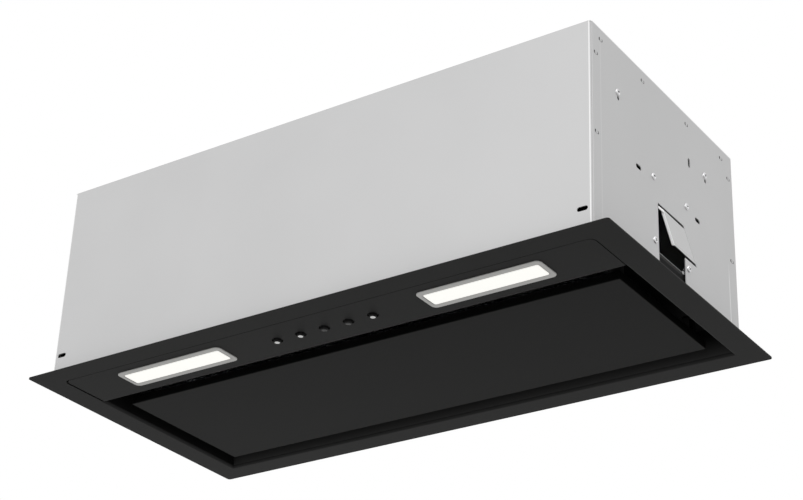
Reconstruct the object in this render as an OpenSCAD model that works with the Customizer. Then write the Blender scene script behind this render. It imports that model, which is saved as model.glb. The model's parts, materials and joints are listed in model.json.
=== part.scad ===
// Range hood insert for a kitchen cabinet: a sheet casing on a mounting flange, with lamps and
// buttons in a front strip, a hinged panel over two grease filters, and a blower that blows upwards.
// Millimetres. The origin is the middle of the flange's upper face, which meets the cabinet.
// +X is to the right, -Y is the front and +Z is up.

/* [Casing] */
// Width of the casing over its side sheets
body_w = 558.2; // [540:0.1:580]
// Depth of the casing, front to back
body_d = 256.6; // [250:0.1:270]
// Height of the casing above the flange
body_h = 190.6; // [188:0.1:220]
// Thickness of the casing sheets
sheet_t = 0.8; // [0.6:0.05:1]
// Outside bend radius of the casing's upright corners
bend_r = 1.8; // [1.4:0.1:3]
// Width of the seam flange behind each side sheet at the front
front_seam = 20; // [19:0.5:26]
// Width of the seam flange behind each side sheet at the rear
rear_seam = 14; // [12:0.5:20]
// Width of the seam flange behind each side sheet at the top
top_seam = 18.3; // [14:0.1:22]
// Rise of the rear sheet's lower edge above the flange
rear_sheet_lift = 1; // [0.8:0.1:4]

/* [Fixing slots] */
// Distance of a fixing slot's middle from the casing's side
slot_inset = 9.2; // [8:0.1:12]
// Height of the fixing slots above the flange
slot_z = 20.2; // [12:0.1:26]
// End-to-end length of a fixing slot
slot_len = 9.6; // [8:0.1:12]
// Half the width of a fixing slot
slot_r = 2; // [1.8:0.05:3.5]

/* [Mounting flange] */
// How far the flange stands out past the casing at each side
side_overhang = 19; // [12:0.1:40]
// How far the flange stands out in front of the casing
front_overhang = 10.9; // [8:0.1:30]
// How far the flange stands out behind the casing
rear_overhang = 22; // [8:0.1:40]
// Thickness of the flange sheet
flange_t = 1.2; // [1:0.1:1.5]
// Radius of the flange's corners
flange_r = 2.6; // [2:0.1:10]
// Outside bend radius where the flange turns up into the recess
lip_r = 2.5; // [1.8:0.1:5]

/* [Recess tray] */
// Thickness of the tray's sheet
tray_t = 1.2; // [1:0.1:1.5]
// Height of the tray's deck above the flange
tray_h = 29.3; // [29:0.1:31]
// Gap between the tray's side walls and the side sheets
tray_side_gap = 4.4; // [4:0.1:8]
// Gap between the tray's rear wall and the rear sheet
tray_rear_gap = 0.5; // [0.5:0.1:3]
// Distance from the casing's front face to the recess
recess_front = 64.4; // [63:0.1:72]
// Gap between the deck's front edge and the front sheet
deck_front_gap = 5; // [2:0.5:8]
// Height of the hem along each side of the deck
hem_h = 2.4; // [1.5:0.1:2.6]

/* [Control strip] */
// Distance of the strip's front edge from the casing's front face
strip_inset = 10.4; // [8.5:0.1:12]
// Gap between the strip's front edge and the flange
strip_front_gap = 0.5; // [0.3:0.1:1.5]
// Gap between the strip's left end and the flange
strip_left_gap = 2.1; // [0.5:0.1:2.5]
// Gap between the strip's right end and the flange
strip_right_gap = 0.9; // [0.5:0.1:2.5]
// Radius of the strip's front corners
strip_r = 6; // [3:0.5:8]
// Set-back of the strip's hole from the recess opening's ends
strip_hole_inset = 1.5; // [0.5:0.1:3]

/* [Lamps] */
// Distance of each lamp's middle from the hood's middle
lamp_x = 161; // [150:1:200]
// Distance of the lamps' middle line from the casing's front face
lamp_y = 35.7; // [34:0.1:40]
// Width of a lamp's bezel
bezel_w = 117.5; // [110:0.5:125]
// Depth of a lamp's bezel
bezel_d = 30.5; // [29:0.5:32]
// Corner radius of a bezel
bezel_r = 7; // [4:0.5:10]
// How far a bezel stands out of the strip
bezel_t = 0.9; // [0.6:0.1:1.5]
// Width of a bezel's border at the window's two ends
bezel_end = 4.5; // [4:0.1:6]
// Width of a bezel's border along the window
bezel_edge = 5.85; // [5:0.05:7]
// Corner radius of a bezel's window
lens_r = 2; // [1:0.5:4]
// How far a diffuser stands out of its bezel
lens_proud = 0.3; // [0.1:0.1:0.8]
// Width of the neck's wall round a bezel's window
neck_t = 2.4; // [1.6:0.1:2.8]
// Length of the bezel's neck above the strip's underside
neck_h = 4.2; // [3:0.1:6]
// Height of a lamp's housing
lamp_h = 20; // [16:1:26]
// Wall of a lamp's housing
lamp_wall = 1.2; // [0.8:0.1:1.2]
// Number of light-emitting diodes on each board
led_count = 8; // [4:1:12]

/* [Buttons] */
// Number of push buttons
button_count = 5; // [5:1:5]
// Distance between neighbouring buttons
button_pitch = 25; // [20:0.5:28]
// Distance of the buttons' row from the casing's front face
button_y = 36.8; // [34:0.1:42]
// Sideways place of the middle button
button_x = 0.5; // [-4:0.5:4]
// Radius of a button
button_r = 3.35; // [2.5:0.05:4]
// Radius of the hole round a button
button_hole_r = 5; // [4.6:0.1:6]
// How far a button's face stands out of the strip
button_proud = 2.3; // [1.8:0.1:4]
// Travel of a button
button_travel = 1.5; // [0.8:0.1:1.7]
// Radial clearance of a button in its guide
button_clear = 0.1; // [0.05:0.01:0.1]
// Width of a button's retaining collar
button_collar = 1.05; // [0.8:0.05:1.5]
// Height of the guide block
guide_h = 9; // [7:0.5:11]
// Depth of the guide block, front to back
guide_d = 24; // [20:1:28]
// Height of a tact switch
switch_h = 3.6; // [3:0.1:5]
// Thickness of the circuit boards
board_t = 1.6; // [1:0.1:2]

/* [Panel] */
// Gap between the panel and the recess opening at each end
panel_side_gap = 18.9; // [16:0.1:24]
// Gap between the panel and the recess opening at the front
panel_front_gap = 21.75; // [18:0.05:24]
// Gap between the panel and the recess opening at the rear
panel_rear_gap = 21.1; // [21:0.1:24]
// Height of the panel's face above the flange's underside
panel_recess = 1.6; // [0.5:0.1:3]
// Height of the panel
panel_h = 8; // [7:0.1:9]
// Thickness of the panel's sheets
panel_t = 1; // [0.8:0.1:1.2]
// Radius of the hinge pins
hinge_pin_r = 2; // [1.5:0.05:2.2]
// Distance of the hinges and catches from the panel's ends
hinge_inset = 8.3; // [8:0.1:12]
// Distance of the hinge axis from the panel's rear edge
hinge_back = 6.5; // [6:0.1:8]
// Height of the hinge axis above the panel's face
hinge_up = 5.6; // [5:0.1:6]
// Width of a hinge arm
hinge_arm_w = 3; // [2:0.1:4]
// Distance of the catches from the panel's front edge
catch_y = 10; // [9:0.5:14]
// Radius of a catch magnet
magnet_r = 6; // [4:0.5:6]

/* [Filters] */
// Gap between a filter cassette and the catch magnet beside it
filter_clear = 8; // [4:0.5:14]
// Thickness of a filter cassette
filter_t = 10; // [9:0.5:10.5]
// Width of a cassette frame's bars
filter_bar = 14; // [12:0.5:18]
// Gap between the two cassettes
filter_split = 6; // [4:0.5:12]
// Distance of the cassettes' front edge from the recess's front wall
filter_front_gap = 8.35; // [8:0.05:12]
// Distance of the cassettes' rear edge from the recess's rear wall
filter_rear_gap = 15.35; // [14:0.05:20]
// How far the deck's opening lies inside a cassette's outline
port_inset = 6; // [4:0.5:10]
// Number of openings across a filter mesh
mesh_nx = 12; // [4:1:16]
// Number of openings along a filter mesh
mesh_ny = 8; // [3:1:12]
// Travel of a filter's latch
latch_travel = 7; // [5:0.5:7.5]
// Width of a latch's bolt
latch_w = 30; // [20:1:40]
// Thickness of a latch's bolt
latch_t = 2.8; // [2:0.1:3]
// Thickness of the rails that carry the filters
rail_t = 1.3; // [1:0.1:1.4]

/* [Blower] */
// Distance of the blower's axis from the casing's front face
blower_y = 100.1; // [98:0.1:108]
// Height of the blower's axis above the flange
blower_z = 109; // [108.5:0.5:114]
// Radius of the impeller
impeller_r = 52; // [46:0.5:53]
// Width of the impeller
impeller_w = 96; // [80:1:102]
// Depth of the impeller's blades
blade_d = 10; // [7:0.5:12]
// Number of blades
blade_count = 32; // [20:1:40]
// Inside width of the scroll
scroll_w = 110; // [108:1:116]
// Inside radius of the scroll at its tongue
scroll_r0 = 57; // [56.5:0.5:60]
// Inside radius of the scroll where it enters the outlet
scroll_r1 = 82; // [78:0.5:84]
// Wall of the scroll
scroll_t = 1.6; // [1.2:0.1:2.4]
// Radius of the inlets
inlet_r = 44; // [40:0.5:46]
// Radius of the motor
motor_r = 36; // [30:0.5:37]
// Length of the motor
motor_l = 42; // [34:1:46]
// Radius of the motor shaft
shaft_r = 4; // [3:0.5:5]
// Radial clearance of the shaft in its bearing
shaft_clear = 0.05; // [0.02:0.01:0.1]

/* [Outlet] */
// Outside radius of the duct spigot
spigot_r = 74.5; // [74.5:0.1:76]
// Height of the duct spigot above its base plate
spigot_h = 36; // [20:1:38]
// Wall of the duct spigot
spigot_t = 1.5; // [1.2:0.1:2]
// Width of the spigot's square base plate
base_w = 176; // [172:1:180]
// Thickness of the spigot's base plate and of the scroll's top flange
base_t = 2; // [1.5:0.1:3]
// Height of the flap pin above the base plate
flap_pin_z = 6; // [5.5:0.1:9]
// Radius of the flap pin
flap_pin_r = 1.5; // [1:0.1:1.8]
// Thickness of a flap
flap_t = 1.5; // [1:0.1:1.8]
// Radial clearance of the flaps on their pin
flap_clear = 0.05; // [0.03:0.01:0.1]
// Gap between the flaps and the spigot's wall
flap_gap = 0.7; // [0.5:0.1:1.5]

/* [Side fixings] */
// Distance of the side window from the casing's front face
window_y = 108.6; // [108:0.1:112]
// Width of the side window's lower part
window_w = 47.1; // [40:0.1:48]
// Height of the side window
window_z = 75.2; // [70:0.1:76]
// Height of the side window's lower part
window_low_z = 45.8; // [42:0.1:50]
// Slant of the tongue's two ends: run along the sheet for each unit of height
tongue_rake = 0.76; // [0.6:0.01:0.85]
// Length of the slit above the tongue, from the window's front edge
slit_l = 45.7; // [42:0.1:50]
// Distance of the tongue's folded edge from the window's front edge, at its top
tongue_start = 10; // [7:0.1:12]
// Gap above the tongue
tongue_gap = 3.4; // [2:0.1:4]
// Gap below the tongue
tongue_low_gap = 2.3; // [1:0.1:3]
// Outward tilt of the tongue at rest, in degrees
tongue_tilt = 1; // [0:0.1:4]
// Outside bend radius of the tongue's folded edge
tongue_bend_r = 2.4; // [1.4:0.1:3]
// Height of the finger that reaches forward from the tongue's top
finger_h = 2.3; // [1.5:0.1:4]
// Thickness of the side bracket
bracket_t = 1; // [0.8:0.1:1.5]
// Radius of a pan screw's head
screw_head_r = 3.1; // [2.6:0.1:3.5]
// Radius of a pan screw's shank
screw_r = 1.75; // [1.4:0.05:1.9]
// Radial clearance of a screw or rivet in its hole
screw_clear = 0.05; // [0.03:0.01:0.1]
// Radius of a rivet's head
rivet_r = 1.9; // [1.5:0.1:2.2]

/* [Electrics] */
// Distance of the control box's and the driver box's front end from the casing's front face
case_in = 35; // [30:1:40]
// Distance of their rear end from the casing's rear face
case_rear_in = 44.6; // [40:0.1:52]
// Height of the control box and the driver box
case_h = 48; // [40:1:52]
// Depth of the control box and the driver box
case_d = 32; // [24:1:40]
// Wall of the electrical boxes
case_t = 2; // [1.5:0.1:2.5]
// Radius of the capacitor
capacitor_r = 14; // [12:0.5:18]
// Length of the capacitor
capacitor_l = 55; // [50:1:70]
// Radius of the cable gland's bore
gland_bore_r = 4.2; // [3:0.1:5]
// Radius of the cable gland's thread
gland_r = 7.9; // [7:0.1:10]

/* [Hidden] */
$fn = 64;

casing_grey = [0.78, 0.78, 0.79];
flange_black = [0.11, 0.11, 0.11];
plastic_black = [0.05, 0.05, 0.05];
bright_steel = [0.75, 0.76, 0.78];
zinc_grey = [0.62, 0.64, 0.66];
board_green = [0.10, 0.35, 0.18];
lens_white = [1, 1, 0.98];
bezel_silver = [0.70, 0.70, 0.71];
plastic_grey = [0.45, 0.46, 0.48];

// Overlap of joined solids, reach of a cutting solid past what it cuts, and the small gaps between parts
eps = 0.01;
cut = 1;
soft_gap = 0.3;
slide_gap = 0.2;
seam_gap = 0.5;
pin_grip = 0.02;
pin_clear = 0.05;

// Casing
half_w = body_w / 2;
front_y = -(body_d + rear_overhang - front_overhang) / 2;
rear_y = front_y + body_d;
side_in = half_w - sheet_t;
seam_in = side_in - sheet_t;
top_in = body_h - sheet_t;

// Flange, recess and strip
flange_x = half_w + side_overhang;
flange_y = (body_d + front_overhang + rear_overhang) / 2;
under_z = -flange_t;
tray_x = side_in - tray_side_gap - tray_t;
tray_front = front_y + recess_front;
tray_rear = rear_y - sheet_t - tray_rear_gap - tray_t;
opening_x = tray_x + lip_r;
opening_front = tray_front - lip_r;
opening_rear = tray_rear + lip_r;
lip_top = under_z + lip_r;
deck_z = tray_h - tray_t;
deck_front = front_y + sheet_t + deck_front_gap;
deck_x = seam_in - soft_gap;
strip_front = front_y + strip_inset;
strip_hole_x = opening_x - strip_hole_inset;
strip_wall_x = strip_hole_x - strip_left_gap - strip_r - tray_t;
side_lip_rear = rear_y - sheet_t - slide_gap;

// Lamps and buttons
lamp_row = front_y + lamp_y;
button_row = front_y + button_y;
lens_w = bezel_w - 2 * bezel_end;
lens_d = bezel_d - 2 * bezel_edge;
neck_w = lens_w + 2 * neck_t;
neck_d = lens_d + 2 * neck_t;
diffuser_rim = 1.2;
housing_gap_x = 1.3;
housing_gap_y = 0.6;
housing_w = neck_w + 2 * (lamp_wall + housing_gap_x);
housing_d = neck_d + 2 * (lamp_wall + housing_gap_y);
housing_r = 3;
led_board_t = 1;
led_w = 3;
led_h = 0.8;
guide_margin = 7;
guide_x = button_pitch * (button_count - 1) / 2 + button_hole_r + guide_margin;
guide_relief = 1.8;
guide_post_r = 2;
guide_post_inset = 3;
button_seat = guide_h + slide_gap;
button_collar_t = 1.2;
button_chamfer = 0.4;
switch_w = 6;
plunger_r = 1.7;
plunger_h = 0.8;
switch_z = button_seat + button_collar_t + button_travel + soft_gap;
button_xs = [for (i = [0 : button_count - 1]) button_x + (i - (button_count - 1) / 2) * button_pitch];

// Panel
panel_x = opening_x - panel_side_gap;
panel_front = opening_front + panel_front_gap;
panel_rear = opening_rear - panel_rear_gap;
panel_z = under_z + panel_recess;
panel_top = panel_z + panel_h;
hinge_x = panel_x - hinge_inset;
hinge_y = panel_rear - hinge_back;
hinge_z = panel_z + hinge_up;
hinge_arm_r = hinge_pin_r + 1.2;
hinge_arm_d = 5.6;
hinge_notch = hinge_arm_w / 2 + 3.5;
hinge_notch_d = 12;
hinge_pad_w = 12;
hinge_pad_d = 14;
hinge_pad_t = 1.5;
ear_t = 1.5;
ear_d = 8;
backing_gap = 0.1;
catch_row = panel_front + catch_y;
strike_w = 14;
strike_d = 16;
strike_t = 0.3;

// Filters
filter_z = deck_z - soft_gap - filter_t;
filter_front = tray_front + filter_front_gap;
filter_rear = tray_rear - filter_rear_gap;
filter_d = filter_rear - filter_front;
filter_x0 = filter_split / 2;
filter_w = hinge_x - magnet_r - filter_clear - filter_x0;
filter_mid = filter_x0 + filter_w / 2;
latch_z = filter_z + 2.3;
latch_tip = filter_front - latch_travel - soft_gap;
latch_tail = filter_front + filter_bar - 3;
tab_w = 15.6;
tab_y = filter_front + 2.5;
tab_d = 3.5;
tab_drop = 1.5;
tab_gap = 0.4;
mesh_t = 1.6;
mesh_cover = 1;
mesh_z = filter_z + filter_t - mesh_t - mesh_cover;
mesh_fill = 0.6;
rear_rail_hold = 8;
front_rail_gap = 1.5;
front_rail_leg = 0.8;

// Blower and outlet
axis_y = front_y + blower_y;
scroll_a0 = -4;
scroll_a1 = 270;
scroll_steps = 40;
tongue_u = -scroll_r0 * sin(scroll_a0);
duct_front = axis_y + tongue_u;
duct_rear = axis_y + scroll_r1;
collar_y = (duct_front + duct_rear) / 2;
scroll_half = scroll_w / 2;
scroll_out = scroll_half + scroll_t;
base_z = body_h + base_t;
spigot_in = spigot_r - spigot_t;
pin_z = base_z + flap_pin_z;
flap_r = spigot_in - flap_gap;
flap_split = 0.4;
knuckle_r = flap_pin_r + 1.7;
knuckle_edges = [-60, -36, -12, 12, 36, 60];
knuckles_front = [for (i = [0, 2, 4]) [knuckle_edges[i] + soft_gap, knuckle_edges[i + 1] - soft_gap]];
knuckles_rear = [for (i = [1, 3]) [knuckle_edges[i] + soft_gap, knuckle_edges[i + 1] - soft_gap]];
seat_w = 3.5;
base_r = 6;
collar_screw = base_w / 2 - 10;
collar_screw_len = 2 * base_t + sheet_t + 2;
inlet_ring = 4;

// Impeller, and the motor: its back lies against the bracket's boss on the left side of the scroll
disc_t = 2;
hub_r = shaft_r + 8;
hub_back = 5;
hub_front = 7;
blade_t = 0.8;
blade_turn = 22;
blade_bite = 0.5;
rim_t = 2;
rim_w = 4;
motor_back = -scroll_half + 1;
motor_front = motor_back + motor_l;
motor_nose_r = 10;
motor_nose_l = 2;
shaft_tail = motor_back + 12;
shaft_tip = 8;
bracket_arm_w = 12;
bracket_arm_t = 2;
bracket_arm_reach = 8;
bracket_hub_r = 14;
bracket_boss_r = 12;

// Rivets and screws
rivet_shank_r = 1.2;
rivet_head_t = 0.4;
rivet_back_t = 0.5;
rivet_back_r = 1.6;
side_reach = 4;
screw_rim_h = 0.9;
screw_dome_h = 0.7;
screw_top_r = 1.9;
cross_len = 2.6;
cross_w = 0.7;
cross_depth = 0.8;
side_screw_len = 5;
deck_screw_len = 3;

// Side fixings, measured on the right side sheet: [distance from the casing's front, height]
rivet_drop = 10.4;
rivet_front_in = 7.5;
rivet_rear_in = 9.5;
rivet_points = concat(
    [for (part = [0.061, 0.339, 0.65, 0.911]) [part * body_d, body_h - rivet_drop]],
    [for (part = [0.471, 0.857]) [rivet_front_in, part * body_h]],
    [for (part = [0.437, 0.87]) [body_d - rivet_rear_in, part * body_h]]
);
bracket_screw_front = 6.7;
bracket_screw_rear = 5.2;
bracket_screw_low = 8.1;
bracket_screw_high = 21.2;
bracket_screws = [
    for (y = [window_y - bracket_screw_front, window_y + window_w + bracket_screw_rear],
         z = [window_low_z - bracket_screw_low, window_z + bracket_screw_high]) [y, z]
];
case_screw_front = 42.6;
case_screw_rear = 58;
case_screw_z = 145;
case_screws = [for (y = [case_screw_front, body_d - case_screw_rear]) [y, case_screw_z]];
pilot_shift = [1.4, -4.9];
pilot_r = 1.4;
upright_slot_in = 87.2;
level_slots = [[76.6, 92.6, 0], [181.5, 92.6, 0], [body_d - upright_slot_in, 143.1, 90]];
level_slot_len = 9;
level_slot_r = 2;
deck_screw_in = 41;
deck_screw_y = window_y + deck_screw_in;
tongue_top = window_z - tongue_gap;
tongue_h = tongue_top - window_low_z - tongue_low_gap;
tongue_run = tongue_rake * tongue_h;
root_gap = 0.15;
tongue_len = slit_l - tongue_start + tongue_rake * tongue_gap - root_gap;
finger_gap = 0.8;
finger_turn = 3;
plate_front = 12;
plate_below = 14;
plate_above = 31;
plate_y = front_y + window_y - plate_front;
plate_d = 94;
plate_port_d = 85;
plate_port_rim = 4;
plate_z0 = window_low_z - plate_below;
plate_z1 = window_z + plate_above;
plate_port_top = window_z + plate_port_rim;
level_slot_rim = 1.5;

// Electrics
case_l = body_d - case_in - case_rear_in;
case_y0 = front_y + case_in;
case_z0 = 112;
board_x = side_in - case_d + case_t;
board_post_h = 4;
board_post_r = 2.5;
board_end = 8;
board_edge = 6;
board_post_y = 16;
board_post_z = 11;
relay_count = 4;
relay_y = 24;
relay_back = 33;
relay_l = 18;
relay_pitch = (case_l - relay_y - relay_back - relay_l) / (relay_count - 1);
relay_z = 14;
relay_w = 16;
relay_h = 10;
gland_nut_r = gland_r + 3.4;
gland_nut_h = 4;
gland_dome_r = gland_r + 0.6;
gland_dome_h = 8;
gland_thread_l = 8;
capacitor_x = 112;
capacitor_in = 40;
capacitor_drop = 8;
capacitor_y = front_y + capacitor_in;
capacitor_top = top_in - capacitor_drop;
capacitor_foot_r = capacitor_r - 4;
capacitor_foot_h = 4;
clip_gap = 0.1;
clip_t = 1.1;
clip_h = 12;
clip_drop = 24;
clip_z = capacitor_top - clip_drop;
clip_leg_t = 1.2;
clip_foot_l = 14;
terminal_w = 70;
terminal_d = 55;
terminal_h = 40;
terminal_x = -205;
terminal_back = 41.5;
terminal_y = rear_y - terminal_back;

// A block between two corners, given as one [low, high] pair for each axis
module block(x, y, z)
    translate([x[0], y[0], z[0]]) cube([x[1] - x[0], y[1] - y[0], z[1] - z[0]]);

// A rectangle with round corners, made of squares and circles so that it stays exact
module rounded_rect(w, d, r) {
    square([w - 2 * r, d], center = true);
    square([w, d - 2 * r], center = true);
    for (sx = [-1, 1], sy = [-1, 1])
        translate([sx * (w / 2 - r), sy * (d / 2 - r)]) circle(r);
}

// A quarter of a bent sheet, with its centre at the origin and its metal towards -X and -Y
module bend_2d(r, t)
    intersection() {
        difference() {
            circle(r);
            circle(r - t);
        }
        translate([-r, -r]) square(r);
    }

// A slot along local X through local Z, cut from -depth to +depth
module slot_cut(len, r, depth) {
    for (s = [-1, 1]) translate([s * (len / 2 - r), 0, -depth]) cylinder(r = r, h = 2 * depth);
    translate([-len / 2 + r, -r, -depth]) cube([len - 2 * r, 2 * r, 2 * depth]);
}

// A sheet in the YZ plane that starts at x and is t thick
module yz_sheet(x, t)
    translate([x, 0, 0]) rotate([90, 0, 90]) linear_extrude(t) children();

// Children on both sides of the hood, where +Z points out of the side sheet
module on_both_sides(points)
    for (s = [-1, 1], p = points)
        translate([s * half_w, front_y + p[0], p[1]]) rotate([0, s * 90, 0]) children();

module mirrored() mirror([1, 0, 0]) children();

module rivet_holes()
    on_both_sides(rivet_points)
        cylinder(r = rivet_shank_r + screw_clear, h = 2 * side_reach, center = true, $fn = 24);

module side_screw_holes()
    on_both_sides(concat(bracket_screws, case_screws))
        cylinder(r = screw_r + screw_clear, h = 2 * side_reach, center = true, $fn = 24);

module at_collar_screws()
    for (sx = [-1, 1], sy = [-1, 1])
        translate([sx * collar_screw, collar_y + sy * collar_screw, base_z]) children();

module collar_screw_holes()
    at_collar_screws() cylinder(r = screw_r + screw_clear, h = 2 * collar_screw_len, center = true, $fn = 24);

module at_deck_screws()
    for (s = [-1, 1]) translate([s * (tray_x - 4), front_y + deck_screw_y, tray_h]) children();

module deck_screw_holes()
    at_deck_screws() cylinder(r = screw_r + screw_clear, h = 2 * deck_screw_len, center = true, $fn = 24);

module gland_hole()
    translate([terminal_x, terminal_y, top_in])
        cylinder(r = gland_r + screw_clear, h = 2 * (case_t + cut), center = true);

// The front or rear sheet: a web with two seam flanges and a top flange, seen from the front
module end_sheet(seam, foot) {
    bend_x = side_in - bend_r;
    difference() {
        union() {
            translate([0, 0, foot]) linear_extrude(top_in - foot) {
                translate([-bend_x, 0]) square([2 * bend_x, sheet_t]);
                for (s = [-1, 1]) scale([s, 1]) {
                    translate([bend_x, bend_r]) mirror([1, 0]) bend_2d(bend_r, sheet_t);
                    translate([seam_in, bend_r]) square([sheet_t, seam - bend_r]);
                }
            }
            block([-seam_in + slide_gap, seam_in - slide_gap], [sheet_t / 2, seam],
                  [top_in - sheet_t, top_in]);
        }
        for (s = [-1, 1])
            translate([s * (half_w - slot_inset), 0, slot_z]) rotate([90, 0, 0])
                slot_cut(slot_len, slot_r, sheet_t + cut);
    }
}

module front_sheet() color(casing_grey)
    difference() {
        translate([0, front_y, 0]) end_sheet(front_seam, 0);
        rivet_holes();
    }

module rear_sheet() color(casing_grey)
    difference() {
        translate([0, rear_y, 0]) mirror([0, 1, 0]) end_sheet(rear_seam, rear_sheet_lift);
        rivet_holes();
    }

// The opening in a side sheet, in [distance from the front, height]: a foot, and a slanted part
module window_2d() {
    slit_end = window_y + slit_l;
    slant = tongue_rake * (window_z - window_low_z);
    translate([window_y, -cut]) square([window_w, window_low_z + 2 * cut]);
    polygon([
        [window_y, window_low_z], [window_y, window_z],
        [slit_end, window_z], [slit_end + slant, window_low_z]
    ]);
}

module side_sheet() color(casing_grey)
    difference() {
        block([side_in, half_w], [front_y + bend_r, rear_y - bend_r], [0, body_h]);
        translate([0, front_y, 0]) yz_sheet(side_in - cut, sheet_t + 2 * cut) window_2d();
        level_slot_cuts(0);
        for (p = case_screws)
            translate([half_w, front_y + p[0] + pilot_shift[0], p[1] + pilot_shift[1]]) rotate([0, 90, 0])
                cylinder(r = pilot_r, h = 2 * side_reach, center = true, $fn = 24);
        rivet_holes();
        side_screw_holes();
    }

// The slots for levelling screws, grown by a margin
module level_slot_cuts(grow)
    for (s = level_slots) translate([half_w, front_y + s[0], s[1]]) rotate([s[2], 0, 0]) rotate([90, 0, 90])
        slot_cut(level_slot_len + 2 * grow, level_slot_r + grow, side_reach);

module right_side_sheet() side_sheet();
module left_side_sheet() mirrored() side_sheet();

module top_plate() color(casing_grey)
    difference() {
        union() {
            block([-side_in, side_in], [front_y, rear_y], [top_in, body_h]);
            for (s = [-1, 1]) scale([s, 1, 1])
                block([seam_in, side_in], [front_y + front_seam + seam_gap, rear_y - rear_seam - seam_gap],
                      [body_h - top_seam, body_h]);
        }
        block([-scroll_half, scroll_half], [duct_front, duct_rear], [top_in - cut, body_h + cut]);
        collar_screw_holes();
        rivet_holes();
        gland_hole();
    }

module casing_rivets() color(casing_grey)
    on_both_sides(rivet_points) {
        cylinder(r = rivet_r, h = rivet_head_t, $fn = 24);
        translate([0, 0, -2 * sheet_t - rivet_back_t]) {
            cylinder(r = rivet_shank_r, h = 2 * sheet_t + rivet_back_t + eps, $fn = 24);
            cylinder(r = rivet_back_r, h = rivet_back_t, $fn = 24);
        }
    }

// A pan-head screw whose seat is at the origin and whose shank goes down
module pan_screw(len) {
    difference() {
        union() {
            cylinder(r = screw_head_r, h = screw_rim_h, $fn = 32);
            translate([0, 0, screw_rim_h])
                cylinder(r1 = screw_head_r, r2 = screw_top_r, h = screw_dome_h, $fn = 32);
        }
        for (a = [0, 90]) rotate([0, 0, a]) translate([0, 0, screw_rim_h + screw_dome_h])
            cube([cross_len, cross_w, 2 * cross_depth], center = true);
    }
    translate([0, 0, -len]) cylinder(r = screw_r, h = len + eps, $fn = 24);
}

module pan_screws() color(bright_steel) {
    on_both_sides(concat(bracket_screws, case_screws)) pan_screw(side_screw_len);
    at_collar_screws() pan_screw(collar_screw_len);
    at_deck_screws() pan_screw(deck_screw_len);
}

// The bend along one side of the recess: it leaves the flange's underside at the origin, runs along local X,
// and rises towards local +Y
module lip(len)
    translate([-len / 2, 0, 0]) rotate([90, 0, 90]) linear_extrude(len)
        translate([0, lip_r]) mirror([1, 0]) bend_2d(lip_r, flange_t);

module flange_frame() color(flange_black) {
    difference() {
        translate([0, 0, under_z]) linear_extrude(flange_t)
            rounded_rect(2 * flange_x, 2 * flange_y, flange_r);
        block([-opening_x, opening_x], [opening_front - eps, opening_rear], [under_z - cut, cut]);
        strip_outline(0, 0, strip_front_gap, under_z - cut, flange_t + 2 * cut);
    }
    for (s = [-1, 1]) scale([s, 1, 1])
        translate([opening_x, (opening_front + side_lip_rear) / 2, under_z]) rotate([0, 0, 90])
            lip(side_lip_rear - opening_front);
    translate([0, opening_rear, under_z]) mirror([0, 1, 0]) lip(2 * opening_x);
}

// The outline of the strip or of its hole: the set-backs of its ends from the hole's, and its reach to the front
module strip_outline(left_gap, right_gap, reach, z, h) {
    r = strip_r + reach;
    x0 = left_gap - strip_hole_x;
    x1 = strip_hole_x - right_gap;
    y0 = strip_front - reach;
    translate([0, 0, z]) linear_extrude(h) {
        translate([x0, y0 + r]) square([x1 - x0, opening_front - y0 - r]);
        translate([x0 + r, y0]) square([x1 - x0 - 2 * r, r + eps]);
        for (x = [x0 + r, x1 - r]) translate([x, y0 + r]) circle(r);
    }
}

// The strip is a channel: its rear edge turns up into the recess and its front wall carries the deck
module control_strip() color(flange_black) {
    lip_x = tray_x - soft_gap;
    difference() {
        union() {
            strip_outline(strip_left_gap, strip_right_gap, 0, under_z, flange_t);
            translate([0, opening_front, under_z]) lip(2 * lip_x);
            block([-strip_wall_x, strip_wall_x], [strip_front, strip_front + tray_t], [under_z, deck_z]);
        }
        for (s = [-1, 1]) translate([s * lamp_x, lamp_row, under_z - cut]) linear_extrude(flange_t + 2 * cut)
            rounded_rect(neck_w + 2 * slide_gap, neck_d + 2 * slide_gap, lens_r + neck_t);
        for (x = button_xs)
            translate([x, button_row, under_z - cut]) cylinder(r = button_hole_r, h = flange_t + 2 * cut);
    }
}

module filter_port()
    block([filter_x0 + port_inset, filter_x0 + filter_w - port_inset],
          [filter_front + port_inset, filter_rear - port_inset], [deck_z - cut, tray_h + cut]);

// Four walls that stand on the lips, and a deck with a hem beside each side sheet that reaches over the strip
module recess_tray() color(flange_black)
    difference() {
        union() {
            block([-deck_x, deck_x], [deck_front, tray_rear + tray_t], [deck_z, tray_h]);
            block([-tray_x - tray_t, tray_x + tray_t], [tray_front - tray_t, tray_rear + tray_t],
                  [lip_top, deck_z + eps]);
            for (s = [-1, 1]) scale([s, 1, 1])
                block([deck_x - tray_t, deck_x], [deck_front, tray_rear + tray_t], [deck_z, tray_h + hem_h]);
        }
        block([-tray_x, tray_x], [tray_front, tray_rear], [lip_top - cut, deck_z]);
        filter_port();
        mirrored() filter_port();
        deck_screw_holes();
    }

module lamp_bezel() color(bezel_silver)
    translate([lamp_x, lamp_row, under_z]) difference() {
        union() {
            translate([0, 0, -bezel_t]) linear_extrude(bezel_t) rounded_rect(bezel_w, bezel_d, bezel_r);
            translate([0, 0, -eps]) linear_extrude(neck_h + eps)
                rounded_rect(neck_w, neck_d, lens_r + neck_t);
        }
        translate([0, 0, -bezel_t - cut]) linear_extrude(neck_h + bezel_t + 2 * cut)
            rounded_rect(lens_w, lens_d, lens_r);
    }

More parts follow.
